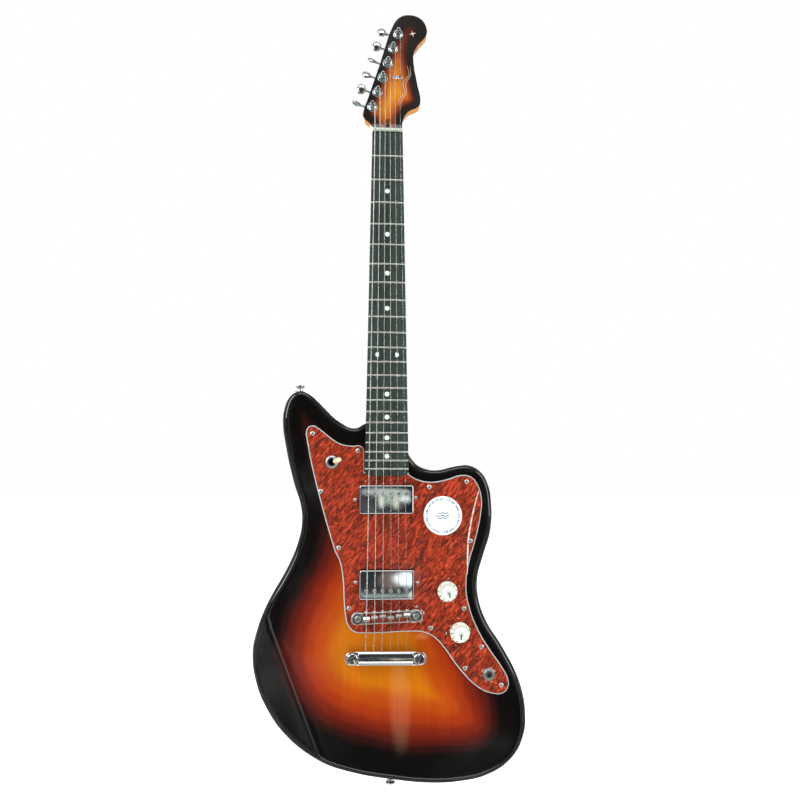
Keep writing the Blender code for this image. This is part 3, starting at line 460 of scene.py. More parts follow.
def fill(shape, loops, grid=0.0, coat=0):
    """Fills between an outer ring of corners and the rings inside it, with an even net if asked."""
    corners = [corner for loop in loops for corner in loop]
    flat = [Vector(corner.co.xy) for corner in corners]
    outlines = [[tuple(corner.co.xy) for corner in loop] for loop in loops]
    height = corners[0].co.z
    edges, first = [], 0
    for loop in loops:
        edges += [(first + i, first + (i + 1) % len(loop)) for i in range(len(loop))]
        first += len(loop)
    if grid:
        low, high = np.min(outlines[0], axis=0), np.max(outlines[0], axis=0)
        rows = np.arange(low[1], high[1], grid * 0.87)
        net = [(x + (grid / 2 if i % 2 else 0.0), y) for i, y in enumerate(rows)
               for x in np.arange(low[0], high[0], grid)]
        keep = inside(net, outlines)
        for outline in outlines:
            keep &= edge_distances(net, outline) > grid * 0.55
        flat += [Vector(spot) for spot, kept in zip(net, keep) if kept]
    spots, _, faces, sources, _, _ = geometry.delaunay_2d_cdt(flat, edges, [], 0, 1e-6)
    made = []
    for spot, source in zip(spots, sources):
        known = [i for i in source if i < len(corners)]
        made.append(corners[known[0]] if known else shape.verts.new((spot.x, spot.y, height)))
    centres = [tuple(sum((spots[i] for i in face), Vector((0, 0))) / len(face)) for face in faces]
    for face, kept in zip(faces, inside(centres, outlines)):
        if kept and len({made[i] for i in face}) == len(face):
            shape.faces.new([made[i] for i in face]).material_index = coat


def slab(outline, levels, holes=(), grid=0.0, coats=None, cap_coats=(0, 0)):
    """A sheet cut to an outline, from (inset, height) levels that run from back to front."""
    shape = bmesh.new()
    outline = counter_clockwise(outline)
    rings = []
    for distance, height in levels:
        loop = inset(outline, distance) if distance else outline
        rings.append([shape.verts.new((x, y, height)) for x, y in loop])
    ends = {0: [rings[0]], -1: [rings[-1]]}
    for hole in holes:
        sides = [[shape.verts.new((x, y, levels[end][1])) for x, y in hole] for end in (0, -1)]
        bridge_rings(shape, *sides)
        ends[0].append(sides[0])
        ends[-1].append(sides[1])
    for i, (low, high) in enumerate(zip(rings, rings[1:])):
        bridge_rings(shape, low, high, coats[i] if coats else 0)
    fill(shape, ends[0], grid, cap_coats[0])
    fill(shape, ends[-1], grid, cap_coats[1])
    return shape


def eased(thickness, radius, start=0.0, steps=4, both=False):
    """Levels of a sheet whose front edge, or both edges, are rounded."""
    arc = [(radius * (1 - math.cos(math.pi / 2 * i / steps)),
            start + thickness - radius + radius * math.sin(math.pi / 2 * i / steps))
           for i in range(steps + 1)]
    if not both:
        return [(0.0, start)] + arc
    foot = [(distance, 2 * start + thickness - height) for distance, height in reversed(arc)]
    return foot + arc


def wire(points, radius, sides=10, taper=None):
    """A round wire of one radius swept through points in millimetres."""
    spots = [Vector(p) for p in points]
    shape = bmesh.new()
    rings = []
    heading = (spots[1] - spots[0]).normalized()
    side = heading.orthogonal().normalized()
    for i, spot in enumerate(spots):
        ahead = spots[min(i + 1, len(spots) - 1)] - spots[max(i - 1, 0)]
        turn = heading.rotation_difference(ahead.normalized())
        heading, side = ahead.normalized(), (turn @ side).normalized()
        other = heading.cross(side)
        reach = radius * (taper[i] if taper else 1.0)
        rings.append([shape.verts.new(spot + (side * math.cos(t) + other * math.sin(t)) * reach)
                      for t in [2 * math.pi * k / sides for k in range(sides)]])
    for low, high in zip(rings, rings[1:]):
        bridge_rings(shape, low, high)
    shape.faces.new(rings[0])
    shape.faces.new(rings[-1])
    return shape


def merge(*shapes):
    """Several shapes as one, each keeping its own closed surface."""
    whole = bmesh.new()
    for shape in shapes:
        carrier = bpy.data.meshes.new("carrier")
        shape.to_mesh(carrier)
        shape.free()
        whole.from_mesh(carrier)
        bpy.data.meshes.remove(carrier)
    return whole


def moved(shape, matrix):
    bmesh.ops.transform(shape, matrix=matrix, verts=shape.verts)
    return shape


def coated(shape, coat):
    for face in shape.faces:
        face.material_index = coat
    return shape


def copies(shape, moves):
    """One shape repeated at several moves in millimetres."""
    whole = bmesh.new()
    carrier = bpy.data.meshes.new("carrier")
    shape.to_mesh(carrier)
    shape.free()
    for step in moves:
        first = len(whole.verts)
        whole.from_mesh(carrier)
        whole.verts.ensure_lookup_table()
        bmesh.ops.transform(whole, matrix=step, verts=whole.verts[first:])
    bpy.data.meshes.remove(carrier)
    return whole


def combine(shape, others, operation="DIFFERENCE"):
    """Cuts other shapes from a shape, or joins them to it, and uses them up."""
    things = []
    for part in (shape, *others):
        bmesh.ops.recalc_face_normals(part, faces=part.faces)
        carrier = bpy.data.meshes.new("carrier")
        part.to_mesh(carrier)
        part.free()
        thing = bpy.data.objects.new("carrier", carrier)
        bpy.context.scene.collection.objects.link(thing)
        things.append(thing)
    for other in things[1:]:
        step = things[0].modifiers.new("combine", "BOOLEAN")
        step.operation = operation
        step.object = other
        step.solver = "EXACT"
    bpy.context.view_layer.update()
    graph = bpy.context.evaluated_depsgraph_get()
    result = bpy.data.meshes.new_from_object(things[0].evaluated_get(graph))
    made = bmesh.new()
    made.from_mesh(result)
    bpy.data.meshes.remove(result)
    for thing in things:
        carrier = thing.data
        bpy.data.objects.remove(thing)
        bpy.data.meshes.remove(carrier)
    return made


def screw_head(radius, height, cross=True, slot_width=None):
    """A domed screw head with a cross or a straight slot, standing on its own XY plane."""
    head = lathe(rounded([(0.0, -0.6), (radius, -0.6), (radius, height * 0.35),
                          (radius * 0.55, height), (0.0, height * 1.06)], radius * 0.3), 28)
    width = slot_width or radius * 0.34
    reach = radius * (1.15 if cross else 2.4)
    depth = height * 1.1
    bars = [moved(block((reach, width, depth)), move(0.0, 0.0, height * 1.06))]
    if cross:
        bars.append(moved(block((width, reach, depth)), move(0.0, 0.0, height * 1.06)))
    return combine(head, bars)


def slices(node, forward):
    """The closed outlines, across and up in millimetres, where a flat cut meets a node."""
    shape = bmesh.new()
    shape.from_mesh(frame["nodes"][node].data)
    bmesh.ops.remove_doubles(shape, verts=shape.verts, dist=1e-6)
    cut = bmesh.ops.bisect_plane(shape, geom=shape.verts[:] + shape.edges[:] + shape.faces[:],
                                 plane_co=(0.0, -forward * MM, 0.0), plane_no=(0.0, 1.0, 0.0))
    edges = {part for part in cut["geom_cut"] if isinstance(part, bmesh.types.BMEdge)}
    loops = []
    while edges:
        edge = edges.pop()
        first, corner = edge.verts
        loop = [first]
        while corner is not first:
            loop.append(corner)
            onward = next((e for e in corner.link_edges if e in edges), None)
            if onward is None:
                break
            edges.discard(onward)
            corner = onward.other_vert(corner)
        if len(loop) > 2:
            loops.append([(v.co.x / MM, v.co.z / MM) for v in loop])
    shape.free()
    loops.sort(key=lambda loop: -max(x for x, _ in loop) + min(x for x, _ in loop))
    return [counter_clockwise(trimmed(loop)) for loop in loops]


def turn_at(before, here, after):
    """How sharply a line turns at a point, in degrees."""
    first, second = Vector(here) - Vector(before), Vector(after) - Vector(here)
    if first.length < 1e-6 or second.length < 1e-6:
        return 0.0
    return math.degrees(first.angle(second))


def trimmed(loop):
    """An outline without the points that lie on straight runs."""
    kept = []
    for i, here in enumerate(loop):
        near = (Vector(here) - Vector(kept[-1])).length < 0.05 if kept else False
        if not near and turn_at(loop[i - 1], here, loop[(i + 1) % len(loop)]) > 0.25:
            kept.append(here)
    return kept


def smooth(loop, steps=3, corner=30.0):
    """A rounder outline through the same points; turns sharper than corner stay sharp."""
    count = len(loop)
    spots = [Vector(p) for p in loop]
    sharp = [turn_at(loop[i - 1], loop[i], loop[(i + 1) % count]) > corner for i in range(count)]
    made = []
    for i in range(count):
        start, end = spots[i], spots[(i + 1) % count]
        before, after = spots[i - 1], spots[(i + 2) % count]
        run = (end - start).length
        if sharp[i]:
            leave = end - start
        else:
            leave = (end - before).normalized() * run
        if sharp[(i + 1) % count]:
            arrive = end - start
        else:
            arrive = (after - start).normalized() * run
        pieces = max(1, min(steps, round(run / 1.2)))
        for k in range(pieces):
            t = k / pieces
            made.append(tuple(
                start * (2 * t**3 - 3 * t**2 + 1) + leave * (t**3 - 2 * t**2 + t)
                + end * (3 * t**2 - 2 * t**3) + arrive * (t**3 - t**2)))
    return made


def upright(shape):
    """Turns a shape drawn across and up, with heights forward, into the guitar's own axes."""
    return moved(shape, FACE_FORWARD)


def climb(height, between):
    """Nought at the first of two heights, one at the second, and level past each."""
    return min(1.0, max(0.0, (height - between[0]) / (between[1] - between[0])))


def edge_attribute(thing, loop, reach, keep=None):
    """Stores how far each corner lies from an outline, as a share of reach, for the burst."""
    spots = [(v.co.x / MM, v.co.z / MM) for v in thing.data.vertices]
    away = np.clip(edge_distances(spots, loop) / reach, 0.0, 1.0)
    if keep is not None:
        away = np.array([keep(spot, value) for spot, value in zip(spots, away)])
    attribute = thing.data.attributes.new("edge_distance", "FLOAT", "POINT")
    attribute.data.foreach_set("value", away.astype(np.float32))


# ---------------------------------------------------------------------------------------------
# Finishes
# ---------------------------------------------------------------------------------------------


def add(owner, kind, props=None, **inputs):
    """Adds a shader node; an input given as a socket is linked, anything else is set."""
    made = owner.node_tree.nodes.new("ShaderNode" + kind)
    for key, value in (props or {}).items():
        setattr(made, key, value)
    for key, value in inputs.items():
        name = int(key[1:]) if key[1:].isdigit() else key.replace("_", " ")
        if isinstance(value, bpy.types.NodeSocket):
            owner.node_tree.links.new(value, made.inputs[name])
        else:
            made.inputs[name].default_value = value
    return made


def coat(name, base, metallic=0.0, roughness=0.4, gloss=0.0, gloss_roughness=0.04, **sockets):
    """A Principled finish with its constant values set; gloss is a clear coat over it."""
    made = bpy.data.materials.new(name)
    made.use_nodes = True
    made.diffuse_color = base
    shader = made.node_tree.nodes["Principled BSDF"]
    values = {"Base Color": base, "Metallic": metallic, "Roughness": roughness,
              "Coat Weight": gloss, "Coat Roughness": gloss_roughness}
    values.update({key.replace("_", " ").title().replace("Ior", "IOR"): value
                   for key, value in sockets.items()})
    for key, value in values.items():
        shader.inputs[key].default_value = value
    return made


def shader_of(made):
    return made.node_tree.nodes["Principled BSDF"]


def noise(made, scale, detail=3.0, stretch=(1.0, 1.0, 1.0), turn=0.0, distortion=0.0,
          roughness=0.5):
    """Noise over the piece's own metres; stretch squeezes it and turn leans it in the face."""
    coords = add(made, "TexCoord").outputs["Object"]
    mapped = add(made, "Mapping", {"vector_type": "TEXTURE"}, Vector=coords,
                 Scale=tuple(1 / part for part in stretch),
                 Rotation=(0.0, math.radians(turn), 0.0)).outputs[0]
    return add(made, "TexNoise", Vector=mapped, Scale=scale, Detail=detail,
               Distortion=distortion, Roughness=roughness).outputs["Fac"]


def ramp(made, factor, stops, kind="LINEAR"):
    """Colours along a factor, from (place, colour) stops."""
    made_ramp = add(made, "ValToRGB", Fac=factor)
    band = made_ramp.color_ramp
    band.interpolation = kind
    for i, (spot, value) in enumerate(stops):
        knot = band.elements[i] if i < 2 else band.elements.new(spot)
        knot.position = spot
        knot.color = value
    return made_ramp.outputs["Color"]


def blend(made, factor, first, second, kind="MIX"):
    mixed = made.node_tree.nodes.new("ShaderNodeMix")
    mixed.data_type = "RGBA"
    mixed.blend_type = kind
    for index, value in ((0, factor), (6, first), (7, second)):
        if isinstance(value, bpy.types.NodeSocket):
            made.node_tree.links.new(value, mixed.inputs[index])
        else:
            mixed.inputs[index].default_value = value
    return mixed.outputs[2]


def paint(made, colours):
    made.node_tree.links.new(colours, shader_of(made).inputs["Base Color"])


def vary(made, factor, low, high, socket="Roughness"):
    """Lets a factor swing one of the shader's values between two limits."""
    swing = add(made, "MapRange", Value=factor, i1=0.3, i2=0.7, i3=low, i4=high).outputs[0]
    made.node_tree.links.new(swing, shader_of(made).inputs[socket])


def relief(made, factor, depth, socket="Normal"):
    """Presses a factor into the surface, to a depth in millimetres."""
    shader = shader_of(made)
    before = shader.inputs[socket].links
    bump = add(made, "Bump", Strength=1.0, Distance=depth * MM, Height=factor)
    if before:
        made.node_tree.links.new(before[0].from_socket, bump.inputs["Normal"])
    made.node_tree.links.new(bump.outputs[0], shader.inputs[socket])


def darker(value, share):
    return (value[0] * share, value[1] * share, value[2] * share, 1.0)


def burst_lacquer(name, stops, grain_colour):
    """A sunburst under clear lacquer: colours by distance from the edge, over open grain."""
    made = coat(name, stops[-1][1], roughness=0.5, gloss=1.0, gloss_roughness=0.02,
                specular_ior_level=0.0)
    edge = add(made, "Attribute", {"attribute_name": "edge_distance"}).outputs["Fac"]
    spray = noise(made, 22.0, 4.0)
    wobble = add(made, "MapRange", Value=spray, i1=0.3, i2=0.7, i3=-0.025, i4=0.025).outputs[0]
    reach = add(made, "Math", {"operation": "ADD"}, i0=edge, i1=wobble).outputs[0]
    colours = ramp(made, reach, stops, "EASE")
    grain = noise(made, 300.0, 4.0, (1.0, 1.0, 0.035), distortion=0.4)
    bands = noise(made, 40.0, 2.0, (1.0, 1.0, 0.12))
    lines = ramp(made, grain, [(0.35, grain_colour), (0.6, (1.0, 1.0, 1.0, 1.0))])
    colours = blend(made, 0.35, colours, lines, "MULTIPLY")
    wide = ramp(made, bands, [(0.3, (0.84, 0.82, 0.8, 1.0)), (0.7, (1.08, 1.06, 1.0, 1.0))])
    paint(made, blend(made, 0.6, colours, wide, "MULTIPLY"))
    relief(made, noise(made, 420.0, 2.0), 0.006, "Coat Normal")
    relief(made, grain, 0.02)
    vary(made, noise(made, 30.0, 5.0), 0.42, 0.58)
    return made


def body_lacquer(name):
    black, red, amber = colour("burst_black"), colour("red_brown"), colour("amber")
    stops = [(0.17, black), (0.25, shade(42, 17, 14)), (0.33, shade(82, 24, 16)),
             (0.43, red), (0.55, shade(156, 52, 17)), (0.68, shade(174, 70, 16)),
             (0.88, amber)]
    return burst_lacquer(name, stops, (0.8, 0.7, 0.55, 1.0))


def headstock_lacquer(name):
    amber = colour("neck_amber")
    stops = [(0.24, shade(34, 30, 28)), (0.33, shade(70, 32, 24)), (0.45, shade(126, 58, 32)),
             (0.62, shade(178, 98, 34)), (0.9, amber)]
    return burst_lacquer(name, stops, (0.66, 0.5, 0.34, 1.0))


def maple(name):
    """Amber-tinted maple with fine long grain and faint cross flame."""
    amber = colour("neck_amber")
    made = coat(name, amber, roughness=0.42, gloss=0.7, gloss_roughness=0.08,
                specular_ior_level=0.1)
    grain = noise(made, 260.0, 4.0, (1.0, 1.0, 0.03), distortion=0.3)
    flame = noise(made, 60.0, 2.0, (0.4, 0.4, 1.6))
    wood = ramp(made, grain, [(0.3, darker(amber, 0.55)), (0.55, amber), (0.8, darker(amber, 1.2))])
    stripes = ramp(made, flame, [(0.35, (0.85, 0.82, 0.78, 1.0)), (0.65, (1.0, 1.0, 1.0, 1.0))])
    paint(made, blend(made, 0.7, wood, stripes, "MULTIPLY"))
    relief(made, grain, 0.015)
    vary(made, flame, 0.36, 0.5)
    return made


def rosewood(name):
    """Dark open-pored board wood with short pores along the neck."""
    base = colour("rosewood")
    made = coat(name, base, roughness=0.5, specular_ior_level=0.35)
    pores = noise(made, 900.0, 3.0, (1.0, 1.0, 0.06))
    streaks = noise(made, 160.0, 4.0, (1.0, 1.0, 0.03), distortion=0.6)
    wood = ramp(made, streaks, [(0.3, darker(base, 0.55)), (0.5, base), (0.72, darker(base, 1.35))])
    dots = ramp(made, pores, [(0.36, (0.35, 0.33, 0.3, 1.0)), (0.46, (1.0, 1.0, 1.0, 1.0))])
    paint(made, blend(made, 0.8, wood, dots, "MULTIPLY"))
    relief(made, pores, 0.05)
    vary(made, streaks, 0.42, 0.62)
    return made


def plated(name, base, low, high, waviness):
    """Polished plate: smudges in its gloss and a slight swim in its reflections."""
    made = coat(name, base, 1.0, low)
    vary(made, noise(made, 120.0, 5.0, roughness=0.65), low, high)
    cloud = noise(made, 300.0, 3.0)
    paint(made, ramp(made, cloud, [(0.3, darker(base, 0.9)), (0.7, base)]))
    relief(made, noise(made, 45.0, 2.0), waviness)
    relief(made, noise(made, 1500.0, 2.0), 0.0015)
    return made


def chrome(name):
    return plated(name, (0.80, 0.82, 0.83, 1.0), 0.03, 0.12, 0.05)


def machine_chrome(name):
    return plated(name, (0.50, 0.55, 0.54, 1.0), 0.06, 0.18, 0.05)


def cover_chrome(name):
    return plated(name, (0.80, 0.82, 0.82, 1.0), 0.02, 0.05, 0.006)


def nickel(name):
    return plated(name, (0.80, 0.81, 0.76, 1.0), 0.24, 0.42, 0.03)


def fret_nickel(name):
    return plated(name, (0.74, 0.73, 0.66, 1.0), 0.18, 0.32, 0.01)


def black_steel(name):
    return plated(name, (0.06, 0.06, 0.065, 1.0), 0.3, 0.5, 0.02)


def shell(name):
    """Tortoiseshell plastic: leaning flames of red and brown under a clear top."""
    light, dark = colour("shell_light"), colour("shell_dark")
    made = coat(name, light, roughness=0.35, gloss=0.8, gloss_roughness=0.06,
                specular_ior_level=0.0)
    swirl = noise(made, 30.0, 2.0)
    flames = noise(made, 125.0, 5.0, (1.5, 1.0, 0.42), 36.0, 2.2, 0.6)
    flecks = noise(made, 300.0, 4.0, (1.7, 1.0, 0.34), 44.0, 1.4, 0.6)
    tone = ramp(made, flames, [(0.36, dark), (0.47, darker(light, 0.36)),
                               (0.55, darker(light, 0.66)), (0.66, light)])
    spots = ramp(made, flecks, [(0.36, (0.34, 0.38, 0.4, 1.0)), (0.5, (1.0, 1.0, 1.0, 1.0)),
                                (0.68, (1.35, 1.25, 1.2, 1.0))])
    tone = blend(made, 0.75, tone, spots, "MULTIPLY")
    drift = ramp(made, swirl, [(0.3, (0.86, 0.86, 0.88, 1.0)), (0.7, (1.08, 1.04, 1.0, 1.0))])
    paint(made, blend(made, 0.8, tone, drift, "MULTIPLY"))
    vary(made, flecks, 0.28, 0.42)
    relief(made, noise(made, 260.0, 2.0), 0.008, "Coat Normal")
    return made


def plastic(name, base, roughness=0.3, gloss=0.3):
    """Moulded plastic with a faint mottle and fine scuffs."""
    made = coat(name, base, roughness=roughness, gloss=gloss, gloss_roughness=0.12)
    mottle = noise(made, 160.0, 4.0)
    paint(made, ramp(made, mottle, [(0.3, darker(base, 0.93)), (0.7, base)]))
    vary(made, noise(made, 700.0, 4.0), roughness - 0.06, roughness + 0.1)
    relief(made, noise(made, 900.0, 2.0), 0.004)
    return made


def white_plastic(name):
    return plastic(name, colour("plastic_white"))


def ply_white(name):
    return plastic(name, shade(176, 192, 190), 0.45)


def black_plastic(name):
    return plastic(name, shade(26, 26, 27), 0.4)


def cream_plastic(name):
    return plastic(name, colour("switch_cream"), 0.28, 0.6)


def brown_plastic(name):
    return plastic(name, shade(150, 84, 40), 0.3, 0.6)


def bone(name):
    return plastic(name, shade(188, 196, 178), 0.34, 0.2)


def pearl(name):
    """Dots with a soft cloudy sheen."""
    base = colour("pearl")
    made = coat(name, base, roughness=0.25, gloss=0.6, gloss_roughness=0.05)
    clouds = noise(made, 420.0, 4.0, distortion=1.2)
    paint(made, ramp(made, clouds, [(0.3, darker(base, 0.78)), (0.5, base),
                                    (0.7, (0.9, 0.86, 0.9, 1.0))]))
    vary(made, clouds, 0.18, 0.34)
    return made


def ink(name, base):
    """A thin printed line with slightly uneven cover."""
    made = coat(name, base, roughness=0.5)
    paint(made, ramp(made, noise(made, 1400.0, 3.0), [(0.3, darker(base, 0.75)), (0.7, base)]))
    return made


def print_green(name):
    return ink(name, colour("print_green"))


def print_amber(name):
    return ink(name, shade(214, 140, 40))


def sticker_blue(name):
    return ink(name, colour("sticker_blue"))


def decal_cream(name):
    return ink(name, shade(216, 206, 178))


def sticker_paper(name):
    made = plastic(name, shade(244, 250, 250), 0.35, 0.5)
    relief(made, noise(made, 200.0, 2.0), 0.02)
    return made


def film(name):
    """Clear protective film where its edge and its creases catch the light."""
    base = shade(226, 204, 190)
    made = coat(name, base, roughness=0.25, gloss=0.6, gloss_roughness=0.1)
    creases = noise(made, 500.0, 4.0)
    paint(made, ramp(made, creases, [(0.35, shade(186, 112, 92)), (0.52, base),
                                     (0.7, shade(240, 234, 226))]))
    relief(made, creases, 0.1)
    return made


def felt(name):
    """Black felt of the washers under the strap buttons."""
    made = coat(name, shade(22, 21, 22), roughness=0.95, sheen_weight=0.4)
    fluff = noise(made, 1600.0, 5.0)
    paint(made, ramp(made, fluff, [(0.3, shade(12, 12, 13)), (0.7, shade(40, 39, 40))]))
    relief(made, fluff, 0.2)
    return made


def plain_string(name):
    return plated(name, (0.78, 0.77, 0.74, 1.0), 0.16, 0.26, 0.0)


def wound_string(name):
    """Nickel wrap: close ridges along the string."""
    made = plated(name, (0.66, 0.65, 0.62, 1.0), 0.2, 0.34, 0.0)
    coords = add(made, "TexCoord").outputs["Object"]
    wrap = add(made, "TexWave", {"bands_direction": "Z"}, Vector=coords, Scale=1100.0,
               Distortion=0.1).outputs["Fac"]
    relief(made, wrap, 0.06)
    return made


def coil_wire(name):
    """Enamelled copper under tape, for the pickups' coils."""
    made = coat(name, shade(40, 26, 22), roughness=0.4)
    turns = noise(made, 300.0, 3.0, (0.05, 6.0, 1.0))
    paint(made, ramp(made, turns, [(0.35, shade(24, 20, 20)), (0.65, shade(70, 40, 28))]))
    relief(made, turns, 0.1)
    return made


@functools.cache
def finish(name):
    """A finish by the name of its function, made the first time that it is asked for."""
    return FINISHES[name](f"{name}_finish")


FINISHES = {maker.__name__: maker for maker in (
    body_lacquer, headstock_lacquer, maple, rosewood, chrome, machine_chrome, cover_chrome,
    nickel, fret_nickel, black_steel, shell, white_plastic, ply_white, black_plastic,
    cream_plastic, brown_plastic, bone, pearl, print_green, print_amber, sticker_blue,
    decal_cream, sticker_paper, film, felt, plain_string, wound_string, coil_wire)}


# ---------------------------------------------------------------------------------------------
# Body
# ---------------------------------------------------------------------------------------------

CONTROL_CAVITY = (
    (64.0, -604.0), (94.0, -600.0), (98.0, -640.0), (114.0, -672.0), (148.0, -726.0),
    (146.0, -743.0), (126.0, -744.0), (102.0, -720.0), (82.0, -692.0), (66.0, -664.0),
)
BODY_GRID = 5.0
BURST_REACH = 120.0
LOWER_SHADING = 0.1
LOWER_SHADED = (-660.0, -750.0)
BODY_CUT = -30.0
EDGE_STEPS = 6
CREASE_SOFTNESS = 2.5


def eased_ramp(value, softness):
    """Nought below zero and the value itself above it, with a soft bend between them."""
    share = value / softness
    return value if share > 30 else softness * math.log1p(math.exp(share))


def past_crease(x, z):
    """How far a point lies past the forearm crease, towards the bass edge."""
    start, end = Vector(FOREARM_CREASE[0]), Vector(FOREARM_CREASE[1])
    along = (end - start).normalized()
    return (Vector((x, z)) - start).dot(Vector((along.y, -along.x)))


def front_height(x, z):
    return -math.tan(FOREARM_TILT) * eased_ramp(past_crease(x, z), CREASE_SOFTNESS)


def back_height(x, z):
    flat = back("body")
    across = (x - BELLY_CENTRE[0]) / BELLY_RADII[0]
    along = (z - BELLY_CENTRE[1]) / BELLY_RADII[1]
    rise = max(0.0, 1.0 - across**2 - along**2)
    scoop = BELLY_CENTRE[2] + BELLY_RADII[2] * math.sqrt(rise)
    return flat + eased_ramp(scoop - flat, CREASE_SOFTNESS) if scoop > flat - 9.0 else flat


def body_shape(outline):
    """The solid: rounded edges all round, a tilted forearm bevel and a scooped belly cut."""
    shape = bmesh.new()
    radius = size("edge_radius")
    rings = []
    for side in (-1, 1):
        ring_set = []
        for i in range(EDGE_STEPS + 1):
            turn = math.pi / 2 * i / EDGE_STEPS
            loop = inset(outline, radius * (1 - math.sin(turn)))
            drop = radius * (1 - math.cos(turn))
            face = back_height if side < 0 else front_height
            ring_set.append([shape.verts.new((x, z, face(x, z) - side * drop)) for x, z in loop])
        rings += ring_set if side < 0 else reversed(ring_set)
    for low, high in zip(rings, rings[1:]):
        bridge_rings(shape, low, high)
    for ring, face in ((rings[0], back_height), (rings[-1], front_height)):
        known = len(shape.verts)
        fill(shape, [ring], BODY_GRID)
        shape.verts.ensure_lookup_table()
        for corner in shape.verts[known:]:
            corner.co.z = face(corner.co.x, corner.co.y)
    return shape


def body_hollows():
    """Neck pocket, routes under the pickguard and bores for the hardware."""
    low_z = span("neck")[0].z
    top_z = low_z + 83.0
    low_half, top_half = board_half_width(low_z) + 0.4, board_half_width(top_z) + 0.4
    pocket = [(-low_half, low_z - 0.3), (low_half, low_z - 0.3), (top_half, top_z),
              (-top_half, top_z)]
    hollows = [slab(pocket, [(0.0, -16.0), (0.0, 9.0)]),
               slab(CONTROL_CAVITY, [(0.0, -34.0), (0.0, 9.0)])]
    for node in ("neck_pickup_coils", "bridge_pickup_coils"):
        hollows.append(moved(block((94.0, 42.0, 34.0)), move(*middle(node), -5.0)))
    hollows.append(moved(block((30.0, 50.0, 50.0)), move(*middle("toggle_switch"), -11.0)))
    for node, radius, depth in (("bridge_post_bass", 3.5, -26.0),
                                ("bridge_post_treble", 3.5, -26.0),
                                ("tailpiece_stud_bass", 5.9, -24.0),
                                ("tailpiece_stud_treble", 5.9, -24.0)):
        hollows.append(moved(rod(radius, depth, 9.0, 24), move(*middle(node))))
    return hollows


def build_body():
    outline = smooth(slices("body", BODY_CUT)[0])
    shape = combine(body_shape(outline), body_hollows())
    thing = piece("body_shell", upright(shape), finish("body_lacquer"),
                  stands_for=("body",), sharp=32.0)
    # Painted shade: the stored edge share is lowered towards the bottom of the body, which darkens
    # the burst there.
    edge_attribute(thing, outline, BURST_REACH,
                   lambda spot, share: share - LOWER_SHADING * climb(spot[1], LOWER_SHADED))


# ---------------------------------------------------------------------------------------------
# Neck and headstock
# ---------------------------------------------------------------------------------------------

NECK_STATIONS = (
    (-402.0, 19.6, 5.0), (-376.0, 18.2, 2.6), (-340.0, 17.6, 2.2), (-240.0, 16.6, 2.1),
    (-120.0, 15.4, 2.1), (-10.0, 14.7, 2.1), (8.0, 15.8, 2.3), (22.0, 18.0, 2.6),
)
BOARD_UNDER = 5.0
BOARD_TOP = 11.0
HEAD_THICKNESS = 14.0
HEAD_REACH = 32.0
HEAD_SHADING = 0.5
HEAD_SHADED = (95.0, 155.0)
ALONG_BAR = Matrix(((0, 0, 1, 0), (1, 0, 0, 0), (0, 1, 0, 0), (0, 0, 0, 1)))


def neck_shaft():
    """The rounded back of the neck, flat under the fretboard."""
    heights, depths, fullness = zip(*NECK_STATIONS)
    shape = bmesh.new()
    rings = []
    top = BOARD_UNDER - 0.3
    for z in np.linspace(heights[0], heights[-1], 64):
        depth = float(np.interp(z, heights, depths))
        full = 2 / float(np.interp(z, heights, fullness))
        half = board_half_width(min(z, 0.0)) - 0.2
        ring = []
        for i in range(29):
            turn = math.pi * i / 28
            across = math.copysign(abs(math.cos(turn)) ** full, math.cos(turn))
            ring.append(shape.verts.new((half * across, z, top - depth * math.sin(turn) ** full)))
        rings.append(ring)
    for low, high in zip(rings, rings[1:]):
        bridge_rings(shape, low, high)
    shape.faces.new(rings[0])
    shape.faces.new(rings[-1])
    return shape


def head_outline():
    """The headstock's outline, from a cut through the neck, closed off behind the nut."""
    loop = slices("neck", -5.0)[0]
    start = next(i for i in range(len(loop)) if loop[i][1] > 5.0 >= loop[i - 1][1])
    loop = loop[start:] + loop[:start]
    loop = [spot for spot in loop if spot[1] > 5.0]
    return smooth(counter_clockwise([*loop, (-21.0, 3.0), (21.0, 3.0)]))


def ramp_cutter():
    """What is taken away behind the nut, down a hollow ramp to the headstock's face."""
    start, end, face = 4.5, 19.0, HEAD_FACE
    rise = BOARD_UNDER - 0.3 - face
    profile = [(start, 12.0)]
    for i in range(13):
        share = i / 12
        profile.append((start + (end - start) * share, face + rise * (1 - share) ** 2))
    profile += [(40.0, face), (40.0, 12.0)]
    return moved(slab(profile, [(0.0, -30.0), (0.0, 30.0)]), ALONG_BAR)


